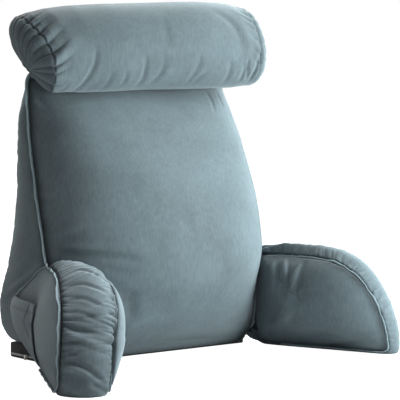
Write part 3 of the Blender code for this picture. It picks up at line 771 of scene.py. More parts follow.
def strip(name, run, outward, width, thickness, ruffle, seed, kinks, calm=1.0, beside_of=None, curl=0.0):
    """A strip of two cloth layers standing out of a seam, thinner where sewn, with a rounded edge."""
    steps = np.linalg.norm(np.diff(run, axis=0), axis=1)
    arc = np.concatenate(((0.0,), np.cumsum(steps)))
    left = arc[-1] - arc
    side = unit(np.cross(unit(evened(np.gradient(run, axis=0), 8)), outward))
    sway = flange_sway(arc, ruffle, kinks, np.random.default_rng(seed))
    uneven = 1.0 + 0.08 * np.sin(2 * np.pi * arc / WIDTH_WAVE + seed)
    uneven += 0.04 * np.sin(2 * np.pi * arc / WIDTH_RIPPLE)
    uneven *= 1.0 - 0.55 * np.exp(-arc / FLANGE_END) - 0.55 * np.exp(-left / FLANGE_END)
    uneven *= 0.4 + 0.6 * calm
    sway *= calm
    # A curled end is wider and bends over to one side.
    uneven *= 1.0 + 0.6 * curl * np.exp(-((left - CURL_WIDE_PLACE) / CURL_WIDE_LENGTH) ** 2)
    sway += 1.1 * curl * np.exp(-((left - CURL_BEND_PLACE) / CURL_BEND_LENGTH) ** 2)
    rings = []
    for reach, across in FLANGE_PROFILE:
        bend = sway * max(reach, 0.0) ** 1.5 * width
        lean = across * (thickness / 2) + bend
        rings.append(run + outward * (width * reach * uneven)[:, None] + side * lean[:, None])
    rings = np.stack(rings, axis=1)
    if beside_of is not None:
        rings = press(rings, beside_of, FLANGE_GAP)
    rings[..., 2] = np.maximum(rings[..., 2], SEAT_GAP)
    count = len(FLANGE_PROFILE)
    faces = faces_between(len(run), count)
    faces.append(tuple(reversed(range(count))))
    faces.append(tuple((len(run) - 1) * count + edge for edge in range(count)))
    outs = [reach for reach, _ in FLANGE_PROFILE]
    flat = np.stack((np.repeat(arc, count), np.tile([reach * width for reach in outs], len(run))), axis=1)
    made = clean_mesh(name, rings.reshape(-1, 3), faces, flat)
    # Painted shade darkens the flange where it is sewn, and a painted highlight lightens its rim.
    paint_shading(made, np.tile(np.interp(outs, (0.0, 0.35, 0.6, 0.95), (1.0, 0.0, -0.2, -0.9)), len(run)))
    return made, (width, float(arc[-1]))


def declare(made, node):
    """Ride the body and replace a plain solid."""
    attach(made, "root")
    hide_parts(node)


# ---------------------------------------------------------------- the wedge back
def wedge_outline():
    """The front panel's outline: width fraction and height, round from the lowest middle point."""
    low = WEDGE_FOOT
    high = WEDGE_EAR
    bottom_steps = low.line_steps // 2
    half = [(low.start * step / bottom_steps, low.up) for step in range(bottom_steps)]
    for step in range(low.arc_steps + 1):
        angle = -0.5 * math.pi + 0.5 * math.pi * step / low.arc_steps
        turn = low.start + (1.0 - low.start) * math.cos(angle)
        half.append((turn, low.up + low.radius * (1.0 + math.sin(angle))))
    for step in range(1, low.line_steps + 1):
        rise = (high.up - high.radius - low.up - low.radius) * step / (low.line_steps + 1)
        half.append((1.0, low.up + low.radius + rise))
    for step in range(high.arc_steps + 1):
        angle = 0.5 * math.pi * step / high.arc_steps
        turn = high.start + (1.0 - high.start) * math.cos(angle)
        half.append((turn, high.up - high.radius * (1.0 - math.sin(angle))))
    for step in range(1, high.line_steps):
        share = step / high.line_steps
        dip = WEDGE_TOP_SAG * math.sin(0.5 * math.pi * share)
        half.append((high.start * (1.0 - share), high.up - dip))
    half = np.array(half)
    top_middle = np.array([(0.0, high.up - WEDGE_TOP_SAG)])
    mirrored = half[:0:-1] * np.array((-1.0, 1.0))
    return np.concatenate((half, top_middle, mirrored))


def rings_to_seam(count, bunch=2.2):
    """Fractions from a panel's middle towards its seam, closer together near the seam."""
    share = np.arange(1, count + 1) / (count + 1)
    return 1.0 - (1.0 - share) ** bunch


def wedge_grid():
    """End points and loops of the wedge, with the loop numbers of its two seams."""
    outline = wedge_outline()
    centre = np.array(WEDGE_CENTRE)
    low = FRONT_SEAM[0].z
    high = WEDGE_EAR.up

    def pillow(flat, fraction):
        rise = np.clip(2.0 * (flat[:, 1] - low) / (high - low) - 1.0, -1.0, 1.0)
        power = read(WEDGE_DOME, "power", flat[:, 1]) + 0.8 * np.clip(4.0 * flat[:, 0], 0.0, 1.0)
        root = read(WEDGE_DOME, "root", flat[:, 1])
        across = np.clip(1.0 - np.abs(flat[:, 0]) ** power, 0.0, 1.0) ** root
        return across * np.clip((1.0 - np.abs(rise) ** 6) * (1.0 - fraction ** 16), 0.0, 1.0) ** 0.5

    def widened(flat, width):
        spread = read(WEDGE_DOME, "spread", flat[:, 1])
        return flat[:, 0] * width + np.clip(flat[:, 0], 0.0, 1.0) ** 2 * spread

    def front(fraction):
        flat = centre + fraction * (outline - centre)
        width = read(FRONT_SEAM, "half_width", flat[:, 1])
        depth = read(FRONT_SEAM, "y", flat[:, 1])
        crown = read(WEDGE_CROWN, "front", flat[:, 1]) * pillow(flat, fraction)
        return np.stack((widened(flat, width), depth - crown, flat[:, 1]), axis=1)

    def rear(fraction):
        flat = centre + fraction * (outline - centre)
        height = REAR_SEAM[0].z + (flat[:, 1] - low) / (high - low) * (REAR_SEAM[-1].z - REAR_SEAM[0].z)
        width = read(REAR_SEAM, "half_width", height)
        depth = read(REAR_SEAM, "y", height)
        crown = read(WEDGE_CROWN, "rear", height) * pillow(flat, fraction)
        return np.stack((widened(flat, width), depth + crown, height), axis=1)

    front_seam = front(1.0)
    rear_seam = rear(1.0)
    along = np.roll(front_seam, -1, axis=0) - np.roll(front_seam, 1, axis=0)
    outward = unit(np.stack((along[:, 2], np.zeros(len(along)), -along[:, 0]), axis=1))
    under = np.clip((-outward[:, 2] - 0.3) / 0.5, 0.0, 1.0)[:, None]
    front_edge = BASE_FRONT - 2 * SEAT_GAP
    rest = BASE_HEIGHT + SEAT_GAP
    shares = (0.0, 0.12, 0.36, 0.64, 0.88, 1.0)
    under_y = (FRONT_SEAM[0].y, front_edge, front_edge, 0.010, 0.070, REAR_SEAM[0].y)
    under_z = (low, low, rest, rest, rest, REAR_SEAM[0].z)

    loops = [front(fraction) for fraction in rings_to_seam(BACK_PANEL_RINGS)]
    front_index = len(loops)
    loops.append(front_seam)
    for share in np.linspace(0.0, 1.0, BACK_SIDE_RINGS)[1:-1]:
        across = front_seam + share * (rear_seam - front_seam)
        bulge = read(WEDGE_CROWN, "side", across[:, 2]) * math.sin(math.pi * share) ** 0.7
        loop = across + outward * bulge[:, None] * (1.0 - under)
        beneath = np.stack((
            across[:, 0],
            np.full(len(loop), np.interp(share, shares, under_y)),
            np.full(len(loop), np.interp(share, shares, under_z)),
        ), axis=1)
        loops.append(loop * (1.0 - under) + beneath * under)
    rear_index = len(loops)
    loops.append(rear_seam)
    loops.extend(rear(fraction) for fraction in rings_to_seam(BACK_REAR_RINGS)[::-1])
    return front(0.0)[0], np.array(loops), rear(0.0)[0], front_index, rear_index


def wedge_limits(grid):
    """The wedge's loops kept under the roll and above the base."""
    front_edge = BASE_FRONT - 2 * SEAT_GAP
    rest = BASE_HEIGHT + SEAT_GAP
    pressed = WEDGE_TOP + WEDGE_TOP_RISE * grid[..., 0] / FRONT_SEAM[-1].half_width
    ears = WEDGE_EAR_SLOPE * np.maximum(np.abs(grid[..., 0]) - WEDGE_EAR_START, 0.0)
    grid[..., 2] = np.minimum(grid[..., 2], pressed + ears)
    over_base = (np.abs(grid[..., 0]) < BASE_HALF_WIDTH + 0.002) & (grid[..., 1] > front_edge - 0.0001)
    grid[..., 2] = np.where(over_base, np.maximum(grid[..., 2], rest), grid[..., 2])
    return grid


class PILLOW_OT_back(bpy.types.Operator):
    """Make the wedge-shaped back cushion with its seam flanges"""

    bl_idname = "pillow.make_back"
    bl_label = "Back Cushion"

    def execute(self, context):
        shape = context.scene.pillow_shape
        first, grid, last, front_index, rear_index = wedge_grid()
        grid = wedge_limits(grid)
        normals = grid_normals(grid)
        free = np.clip((grid[..., 2] - 0.01) / 0.05, 0.0, 1.0)
        field = rumple(grid, *BACK_RUMPLE, 14)
        crevice = np.zeros(grid.shape[:2])
        # Painted shade darkens the cloth beside both seams, most and furthest on the front panel's side of
        # the front seam.
        front_shade = np.where(np.arange(len(grid))[:, None] < front_index, 0.85, 0.35)
        seams = ((front_index, 11, front_shade, 0.0125), (rear_index, 13, 0.4, 0.004))
        for index, seed, shade, spread in seams:
            arc, reach, length = arc_and_reach(grid, index)
            crevice = np.maximum(crevice, shade * fold_shade(reach, spread))
            small = hills(arc, reach, length, BACK_SMALL_FOLDS, shape.pucker_depth, seed)
            broad = hills(arc, reach, length, BACK_BROAD_FOLDS, shape.pucker_depth, seed + 1)
            field += (small + broad) * beside(reach) + groove(reach, shape.groove_depth)
        grid = grid + normals * (field * free)[..., None]
        grid, crevice = creased(grid, normals, BACK_CREASES, crevice)
        grid = wedge_limits(grid)
        made = skin("back_cushion", first, list(grid), last, crevice)
        declare(made, "back_wedge")
        for flange in BACK_FLANGES:
            self.make_flange(shape, grid[front_index], normals, front_index, flange)
        return {"FINISHED"}

    def make_flange(self, shape, seam, normals, front_index, flange):
        """One seam flange, up a front edge and round the ear."""
        chosen = np.where((seam[:, 0] * flange.side > 0.0) & (seam[:, 2] > flange.start))[0][::flange.side]
        run = seam[chosen]
        run = run[:np.argmax(np.abs(run[:, 0]) < flange.stop)]
        radial = off_seam(normals, front_index, chosen[:len(run)])
        outward = unit(flange.radial * radial + np.array((0.0, flange.backward, 0.0)))
        if flange.side > 0:
            # Beside the arm the flange comes forward between the two cushions.
            low = np.clip((FORWARD_BELOW - run[:, 2:]) / FORWARD_WITHIN, 0.0, 1.0)
            outward = unit(outward * (1.0 - low) + np.array(FORWARD) * low)
        made, size = strip("back_flange_" + flange.name, run, outward, shape.flange_width,
                           shape.flange_thickness, FLANGE_RUFFLE, 20 + flange.side, 3, curl=flange.curl)
        declare(made, "wedge_flange_" + flange.name)


# ---------------------------------------------------------------- the neck roll
def gathered_end(ring, spot, crown, rows):
    """Loops that close a roll's end: they swell out of the ring, then draw in to one spot."""
    way = math.copysign(1.0, spot[0])
    upper = np.clip((ring[:, 2] - ring[:, 2].min()) / np.ptp(ring[:, 2]), 0.0, 1.0)
    swell = crown * (0.12 + 0.88 * upper ** 1.2) if way < 0 else np.full(len(ring), crown)
    loops = []
    for row in range(1, rows + 1):
        share = row / (rows + 0.4)
        loop = ring + (np.array(spot) - ring) * share ** (1.15 if way < 0 else 1.7)
        loop[:, 0] += way * swell * math.sin(math.pi * share ** 0.8) ** 0.9
        loops.append(loop)
    return loops


def roll_grid():
    """End points and loops of the neck roll, and the loop numbers of its end seams."""
    places = np.linspace(0.0, 1.0, ROLL_ROWS)
    places -= 0.70 * np.sin(2 * np.pi * places) / (2 * np.pi)
    across = ROLL_SECTIONS[0].x + (ROLL_SECTIONS[-1].x - ROLL_SECTIONS[0].x) * places
    numbers = np.interp(across, [row.x for row in ROLL_SECTIONS], np.arange(len(ROLL_SECTIONS)))
    column = {name: spline([getattr(row, name) for row in ROLL_SECTIONS], numbers)[:, None]
              for name in Section._fields}
    angles = 2 * np.pi * np.arange(ROLL_STEPS) / ROLL_STEPS
    long_way = np.sin(angles) * column["long"]
    short_way = np.cos(angles) * column["short"]
    short_way *= np.where(short_way > 0.0, column["pinch"], 1.0)
    lean = np.radians(column["lean"])
    # The left end's seam runs slanting: its upper front lies further out.
    shift = ROLL_SLANT * np.clip(-np.cos(angles), 0.0, 1.0) * np.clip(np.sin(angles) + 0.35, 0.0, 1.0)
    slant = np.exp(-((across - across[0]) / ROLL_SLANT_REACH) ** 2)[:, None] * shift
    body = np.stack((
        across[:, None] - slant,
        column["y"] + short_way * np.cos(lean) + long_way * np.sin(lean),
        column["z"] - short_way * np.sin(lean) + long_way * np.cos(lean),
    ), axis=2)
    left = gathered_end(body[0], ROLL_LEFT_GATHER, ROLL_LEFT_CROWN, ROLL_END_ROWS)
    right = gathered_end(body[-1], ROLL_RIGHT_GATHER, ROLL_RIGHT_CROWN, ROLL_END_ROWS)
    grid = np.concatenate((left[::-1], body, right))
    right_seam = len(left) + len(body) - 1
    return np.array(ROLL_LEFT_GATHER), grid, np.array(ROLL_RIGHT_GATHER), len(left), right_seam


class PILLOW_OT_roll(bpy.types.Operator):
    """Make the stuffed neck roll, gathered at both ends"""

    bl_idname = "pillow.make_roll"
    bl_label = "Neck Roll"

    def execute(self, context):
        shape = context.scene.pillow_shape
        first, grid, last, left_seam, right_seam = roll_grid()
        normals = grid_normals(grid)
        rows = np.arange(len(grid))[:, None]
        facing = -np.cos(2 * np.pi * np.arange(ROLL_STEPS) / ROLL_STEPS)[None, :]
        field = rumple(grid, *ROLL_RUMPLE, 31)
        crevice = np.zeros(grid.shape[:2])
        front = np.clip(facing, 0.0, 1.0)
        for seam, seed, strength, shade in ((left_seam, 32, 1.0, 1.0), (right_seam, 33, 0.25, 0.4)):
            depth = strength * shape.pleat_depth
            arc, reach, length = arc_and_reach(grid, seam)
            outer = rows < seam if seam == left_seam else rows > seam
            inward = np.where(outer, 0.0, reach)
            slanting = arc + 0.55 * facing * inward
            pleats = hills(slanting, inward, length, ROLL_PLEATS, depth, seed)
            edge = np.where(seam == left_seam, rows / seam, (len(grid) - 1 - rows) / (len(grid) - 1 - seam))
            edge = np.clip(edge, 0.0, 1.0)
            narrowing = edge ** 0.8
            drawn = (0.2 + 0.2 * front) * depth * np.exp(-(reach / PLEATS_DRAWN_REACH) ** 2) * edge
            field += (0.35 + 0.65 * front) * pleats * np.where(outer, narrowing, 1.0) - drawn
            field -= (0.0004 + 0.0020 * front) * np.exp(-(reach / ROLL_SEAM_REACH) ** 2)
            # Painted shade darkens the cloth along the end seams and in the pleats' valleys, more at the
            # left end.
            valley = np.clip(1.0 - pleats / (0.40 * depth), 0.0, 1.0) * np.where(outer, 0.5 * narrowing, 0.5)
            dark = np.maximum(0.75 * fold_shade(reach, 0.0020), valley * fold_shade(inward, 0.015))
            crevice = np.maximum(crevice, dark * shade)
        grid = grid + normals * field[..., None]
        grid, crevice = creased(grid, normals, ROLL_CREASES, crevice)
        grid = press(grid, surface_tree(bpy.data.objects["back_cushion"]), CUSHION_GAP)
        made = skin("neck_cushion", first, list(grid), last, crevice)
        declare(made, "neck_roll")
        return {"FINISHED"}


# ---------------------------------------------------------------- the arms
def arm_frame(side):
    """Root point, forward direction and outward direction of one arm (side is -1 or +1)."""
    root = np.array((side * ARM_ROOT_X, ARM_ROOT_Y, 0.0))
    forward = np.array((side * math.sin(ARM_SPLAY), -math.cos(ARM_SPLAY), 0.0))
    outward = np.array((side * math.cos(ARM_SPLAY), math.sin(ARM_SPLAY), 0.0))
    return root, forward, outward


def arm_seams(side):
    """The seams of one arm's panels: the left arm's toe leans inward, the right arm's curve is slimmer."""
    inner = rounded_outline(INNER_SEAM, ARM_DETAIL)
    outer = rounded_outline(OUTER_SEAM, ARM_DETAIL)
    if side < 0:
        toe = np.clip((inner[:, 0] - TOE_START) / TOE_LENGTH, 0.0, 1.0)
        toe *= np.clip(1.0 - inner[:, 2] / TOE_HEIGHT, 0.0, 1.0)
        inner[:, 1] -= TOE_LEAN * toe
        inner[:, 2] *= 1.0 + LEFT_ARM_RISE * np.clip(inner[:, 0] / LEFT_ARM_RISE_LENGTH, 0.0, 1.0)
    else:
        hand = INNER_SEAM[1]
        for seam in (inner, outer):
            turn = np.arctan2(seam[:, 2] / hand.up, np.maximum(seam[:, 0], 0.0) / hand.along)
            seam *= (1.0 - RIGHT_ARM_SLIMMER * np.sin(2.0 * turn) ** 2)[:, None]
    return inner, outer


def arm_panel(side, seam, middle, crown, fraction):
    """One loop of a panel's dome, at a share of the way from its middle to its seam."""
    faces_back = crown < 0.0
    ring = np.array(middle) + fraction * (seam - np.array(middle))
    tuck = ARM_LEFT_INNER_TUCK if side < 0 and faces_back else ARM_TUCK
    near_floor = np.clip(ring[:, 2] / tuck, 0.0, 1.0) ** 0.6
    if side > 0 and faces_back:
        dome = (1.0 - fraction ** 2.6) ** 0.75
    else:
        dome = (1.0 - fraction ** 3.6) ** 0.5
    if side < 0 and faces_back:
        high = np.clip((ring[:, 2] - LEFT_PANEL_FLAT_FROM) / LEFT_PANEL_FLAT_OVER, 0.0, 1.0)
        dome *= 1.0 - LEFT_PANEL_FLATTER * high ** 1.6
    ring[:, 1] += crown * dome * near_floor
    return ring


def arm_grid(side):
    """End points and loops of one arm, with the loop numbers of its two seams."""
    root, forward, outward = arm_frame(side)
    axes = np.array((forward, outward, (0.0, 0.0, 1.0)))
    inner, outer = arm_seams(side)
    tangent = np.roll(inner, -1, axis=0) - np.roll(inner, 1, axis=0)
    lift = unit(np.cross(tangent, outer - inner + np.array((0.0, 0.02, 0.0))))
    lift *= np.sign(np.sum(lift * (inner - np.array(INNER_MIDDLE)), axis=1, keepdims=True))
    above = np.clip(1.4 * lift[:, 2], 0.0, 1.0)

    fractions = rings_to_seam(ARM_PANEL_RINGS)
    inner_panel = (side, inner, INNER_MIDDLE, -ARM_INNER_CROWN)
    outer_panel = (side, outer, OUTER_MIDDLE, ARM_OUTER_CROWN)
    loops = [arm_panel(*inner_panel, fraction) for fraction in fractions]
    inner_index = len(loops)
    loops.append(inner)
    for share in 0.5 - 0.5 * np.cos(np.pi * np.arange(1, ARM_STRIP_RINGS) / ARM_STRIP_RINGS):
        across = inner + share * (outer - inner)
        if side < 0:
            level = math.sin(math.pi * share ** 0.95) ** 0.65
            high = math.sin(math.pi * share ** 0.68) ** 0.8
        else:
            level = math.sin(math.pi * share ** 0.9) ** 1.15
            high = level
        arch = level * (1.0 - above) + high * above
        bulge = ARM_STRIP_CROWN * arch * np.clip(across[:, 0] / STRIP_CROWN_START, 0.0, 1.0)
        loops.append(across + lift * bulge[:, None])
    outer_index = len(loops)
    loops.append(outer)
    loops.extend(arm_panel(*outer_panel, fraction) for fraction in fractions[::-1])
    size = ARMS[side].size
    loops = [root + (loop * size) @ axes for loop in loops]
    first, last = (root + (arm_panel(*panel, 0.0)[0] * size) @ axes for panel in (inner_panel, outer_panel))
    return first, np.array(loops), last, inner_index, outer_index


def arm_gathers(shape, side, smooth, inner_index, outer_index):
    """How far an arm's gathers and seams stand off its smooth form, and how much painted shade darkens its
    folds and the cloth beside its seams.
    """
    arm = ARMS[side]
    rings = np.arange(len(smooth))[:, None]
    on_strip = (rings >= inner_index) & (rings <= outer_index)
    height = smooth[..., 2]
    free = np.clip(height / ARM_FOLD_FLOOR, 0.0, 1.0)
    full = np.clip((height - ARM_FOLD_FLOOR) / 0.09, 0.45, 1.0)
    full *= 1.0 - 0.40 * np.clip((height - 0.16) / 0.04, 0.0, 1.0)
    seam_shade = np.where(on_strip, arm.strip_shade, arm.panel_shade)
    gather = shape.gather_depth
    fine_gathers = ARM_FINE_GATHERS._replace(extent=arm.fine_reach)
    broad_gathers = ARM_BROAD_GATHERS._replace(share=arm.broad_share)
    field = rumple(smooth, *ARM_RUMPLE, 41 + side)
    crevice = np.zeros(smooth.shape[:2])
    seams = ((inner_index, 44 + side, INNER_SEAM_PULL), (outer_index, 47 + side, OUTER_SEAM_PULL))
    for seam, seed, pull in seams:
        arc, reach, length = arc_and_reach(smooth, seam)
        fine = hills(arc, reach, length, fine_gathers, gather, seed)
        broad = hills(arc, reach, length, broad_gathers, gather, seed + 20)
        panel = hills(arc, reach, length, ARM_PANEL_FOLDS, shape.pucker_depth, seed + 50)
        folds = (fine + broad - 0.5 * gather) * full * on_strip + panel * ~on_strip
        field += folds * beside(reach) + groove(reach, pull * shape.groove_depth)
        # Painted shade darkens the cloth beside the seams, and in the gathers' valleys on the strip.
        valley = np.clip(1.0 - (fine + broad) / (0.9 * gather), 0.0, 1.0) * fold_shade(reach, 0.016)
        dark = np.maximum(seam_shade * fold_shade(reach, arm.shade_reach), 0.35 * valley * on_strip)
        crevice = np.maximum(crevice, dark)
    return field * free, crevice


def seam_steps(corners):
    """How many outline points a stretch of seam has."""
    return sum(corner.arc_steps + corner.line_steps for corner in corners) * ARM_DETAIL


class PILLOW_OT_arms(bpy.types.Operator):
    """Make both arm cushions with their gathered strips and ruffled flanges"""

    bl_idname = "pillow.make_arms"
    bl_label = "Arms"

    def execute(self, context):
        shape = context.scene.pillow_shape
        back = surface_tree(bpy.data.objects["back_cushion"])
        for side in ARMS:
            self.make_arm(shape, side, back)
        return {"FINISHED"}

    def make_arm(self, shape, side, back):
        """One arm: its body first, then its flanges on the finished seams."""
        name = ARMS[side].name
        first, smooth, last, inner_index, outer_index = arm_grid(side)
        normals = grid_normals(smooth)
        field, crevice = arm_gathers(shape, side, smooth, inner_index, outer_index)
        grid = smooth + normals * field[..., None]
        grid, crevice = creased(grid, normals, ARM_CREASES[side], crevice)
        grid[..., 2] = np.maximum(grid[..., 2], 0.0)
        grid = press(grid, back, CUSHION_GAP)
        made = skin(name + "_arm_cushion", first, list(grid), last, crevice)
        declare(made, "arm_" + name)
        for label, index in (("inner", inner_index), ("outer", outer_index)):
            self.make_flange(shape, side, back, grid[index], normals, index, label)

    def make_flange(self, shape, side, back, seam, normals, index, label):
        """A panel's flange, from under the toe over the hand; the outer one also runs down the back edge."""
        name = ARMS[side].name
        _, _, outward = arm_frame(side)
        lean, over = (-1.0, ARMS[side].inner_over) if label == "inner" else (1.0, ARM_OUTER_OVER)
        under = (INNER_SEAM[-1].line_steps - 1) * ARM_DETAIL
        end = seam_steps(INNER_SEAM[:2]) if label == "inner" else seam_steps(INNER_SEAM[:5])
        steps = np.arange(-under, end) % len(seam)
        run = evened(seam[steps], 3)
        direction = unit(off_seam(normals, index, steps) + over * lean * outward)
        near_floor = np.clip(1.0 - run[:, 2:] / 0.040, 0.0, 1.0)
        level = unit(direction * np.array((1.0, 1.0, 0.0)) + outward * lean * 0.3)
        direction = unit(evened(direction * (1.0 - near_floor) + level * near_floor, 10))
        calm = 0.35 + 0.65 * np.clip((run[:, 2] - 0.01) / 0.05, 0.0, 1.0)
        seed = int(60 + lean + 3 * side)
        made, size = strip(f"{name}_arm_flange_{label}", run, direction, shape.flange_width,
                           shape.flange_thickness, ARM_FLANGE_RUFFLE, seed, 4, calm, back)
        declare(made, f"arm_{name}_flange_{label}")


# ---------------------------------------------------------------- the pocket
def pocket_face(tree):
    """The pocket's inner face: rows of points over the arm's outer panel, bellying out at its mouth."""
    root, forward, outward = arm_frame(-1)
    outer = rounded_outline(OUTER_SEAM, ARM_DETAIL) * ARMS[-1].size
    back_edge = outer[outer[:, 0] < 0.0]
    back_edge = back_edge[np.argsort(back_edge[:, 2])]
    grid = np.zeros((POCKET_ROWS + 1, POCKET_COLUMNS + 1, 3))
    for row in range(POCKET_ROWS + 1):
        down = row / POCKET_ROWS
        up = POCKET_TOP + (POCKET_BOTTOM - POCKET_TOP) * down
        rear_end = np.interp(up, back_edge[:, 2], back_edge[:, 0]) + POCKET_INSET
        for column in range(POCKET_COLUMNS + 1):
            share = column / POCKET_COLUMNS
            along = rear_end + (POCKET_FRONT - rear_end) * share
            start = root + forward * along + outward * POCKET_SIGHT + np.array((0.0, 0.0, up))
            hit, _, _, _ = tree.ray_cast(Vector(start), Vector(-outward))
            belly = POCKET_BELLY * math.sin(math.pi * share ** 0.8) ** 0.7 * (1.0 - down) ** 1.3
            belly -= POCKET_STITCH_DEPTH * math.exp(-((share - POCKET_STITCHES) / 0.018) ** 2)
            grid[row, column] = np.array(hit) + outward * (POCKET_OFFSET + belly)
    return grid


def two_layer_faces(rows, columns):
    """Faces of a sheet whose second layer's points follow the first's, closed round its rim."""
    across = columns + 1
    layer = (rows + 1) * across
    faces = []
    for row in range(rows):
        for column in range(columns):
            corner = row * across + column
            quad = (corner, corner + 1, corner + across + 1, corner + across)
            faces.append(quad)
            faces.append(tuple(layer + index for index in reversed(quad)))
    rim = list(range(across))
    rim += [row * across + across - 1 for row in range(1, rows + 1)]
    rim += [rows * across + column for column in range(across - 2, -1, -1)]
    rim += [row * across for row in range(rows - 1, 0, -1)]
    for step, here in enumerate(rim):
        after = rim[(step + 1) % len(rim)]
        faces.append((here, layer + here, layer + after, after))
    return faces


def shade_round(edge, spread):
    """Paint shade onto the left arm's cloth close beside the pocket's edge."""
    arm = bpy.data.objects["left_arm_cushion"]
    places = np.empty(3 * len(arm.data.vertices))
    arm.data.vertices.foreach_get("co", places)
    places = places.reshape(-1, 3)
    depths = np.empty(len(places), dtype=np.float32)
    arm.data.attributes["crevice"].data.foreach_get("value", depths)
    near = np.where((np.abs(places - edge.mean(axis=0)) < POCKET_NEAR).all(axis=1))[0]
    gaps = np.array([np.linalg.norm(edge - places[index], axis=1).min() for index in near])
    depths[near] = np.maximum(depths[near], 0.9 * fold_shade(gaps, spread))
    paint_shading(arm, depths)


class PILLOW_OT_pocket(bpy.types.Operator):
    """Make the patch pocket on the outside of the left arm"""

    bl_idname = "pillow.make_pocket"
    bl_label = "Pocket"

    def execute(self, context):
        _, _, outward = arm_frame(-1)
        grid = pocket_face(surface_tree(bpy.data.objects["left_arm_cushion"]))
        rows = np.arange(POCKET_ROWS + 1)
        # The mouth's hem is folded double, so it stands a little thicker.
        hem = POCKET_HEM_RISE * np.clip((POCKET_HEM_ROWS - rows) / 1.5, 0.0, 1.0)
        outside = grid + outward * (POCKET_THICKNESS + hem)[:, None, None]
        points = np.concatenate((grid.reshape(-1, 3), outside.reshape(-1, 3)))
        width = float(np.linalg.norm(np.diff(grid[POCKET_ROWS // 2], axis=0), axis=1).sum())
        length = float(np.linalg.norm(np.diff(grid[:, POCKET_COLUMNS // 2], axis=0), axis=1).sum())
        over, down = np.linspace(0, width, POCKET_COLUMNS + 1), np.linspace(0, length, POCKET_ROWS + 1)
        flat = np.stack(np.meshgrid(over, down), axis=2).reshape(-1, 2)
        made = clean_mesh("side_pocket", points, two_layer_faces(POCKET_ROWS, POCKET_COLUMNS),
                          np.concatenate((flat, flat)))
        across = np.linspace(0.0, 1.0, POCKET_COLUMNS + 1)
        # Painted shade darkens the pocket along its stitched line and at its hem's lower edge.
        stitch_shade = 0.55 * np.exp(-((across - POCKET_STITCHES) / 0.012) ** 2)
        hem_shade = 0.45 * np.exp(-((rows - POCKET_HEM_ROWS - 0.5) / 0.7) ** 2)
        sewn = np.maximum(stitch_shade[None, :], hem_shade[:, None])
        paint_shading(made, np.tile(sewn.ravel(), 2))
        # Painted shade darkens the arm's cloth beside the pocket's sides and at its mouth.
        shade_round(np.concatenate((grid[:, -1], grid[:, 0])), POCKET_SIDE_SHADE)
        shade_round(grid[0], POCKET_MOUTH_SHADE)
        declare(made, "pocket")
        return {"FINISHED"}


# ---------------------------------------------------------------- the base
class PILLOW_OT_base(bpy.types.Operator):
    """Make the dark base pad"""

    bl_idname = "pillow.make_base"
    bl_label = "Base and Zip"

    def execute(self, context):
        bpy.ops.object.select_all(action="DESELECT")
        size = (2 * BASE_HALF_WIDTH, BASE_BACK - BASE_FRONT, BASE_HEIGHT)
        middle = (0.0, (BASE_BACK + BASE_FRONT) / 2, BASE_HEIGHT / 2)
        bpy.ops.mesh.primitive_cube_add(size=1.0, location=middle, scale=size)
        base = context.object
        base.name = "dark_base"
        bpy.ops.object.transform_apply(location=True, rotation=True, scale=True)
        bpy.ops.object.mode_set(mode="EDIT")
        bpy.ops.mesh.select_all(action="SELECT")
        bpy.ops.mesh.bevel(offset=BASE_BEVEL, segments=3, affect="EDGES")
        bpy.ops.mesh.select_all(action="SELECT")
        bpy.ops.mesh.subdivide(number_cuts=3)
        bpy.ops.object.mode_set(mode="OBJECT")
        bpy.ops.object.shade_smooth()
        declare(base, "base_pad")
        return {"FINISHED"}


# ---------------------------------------------------------------- materials
def new_material(name):
    """A node material and its node tree."""
    made = bpy.data.materials.new(name)
    made.use_nodes = True
    return made, made.node_tree


def add_node(tree, kind, inputs=None, **options):
    """A shader node with its options, and its inputs set to a value or linked to an output."""
    node = tree.nodes.new("ShaderNode" + kind)
    for name, value in options.items():
        setattr(node, name, value)
    for name, value in (inputs or {}).items():
        if isinstance(value, bpy.types.NodeSocket):
            tree.links.new(value, node.inputs[name])
        else:
            node.inputs[name].default_value = value
    return node


def noise(tree, place, scale, detail, roughness=0.5):
    """An even noise over a place."""
    inputs = {"Vector": place, "Scale": scale, "Detail": detail, "Roughness": roughness}
    return add_node(tree, "TexNoise", inputs).outputs["Fac"]


def blend(tree, share, first, second, kind="FLOAT"):
    """A mix of two values or colours."""
    inputs = {"Factor": share, "A": first, "B": second}
    return add_node(tree, "Mix", inputs, data_type=kind).outputs["Result"]


def tinted(colour, strength):
    """A colour made darker or lighter."""
    return *(min(value * strength, 1.0) for value in colour), 1.0


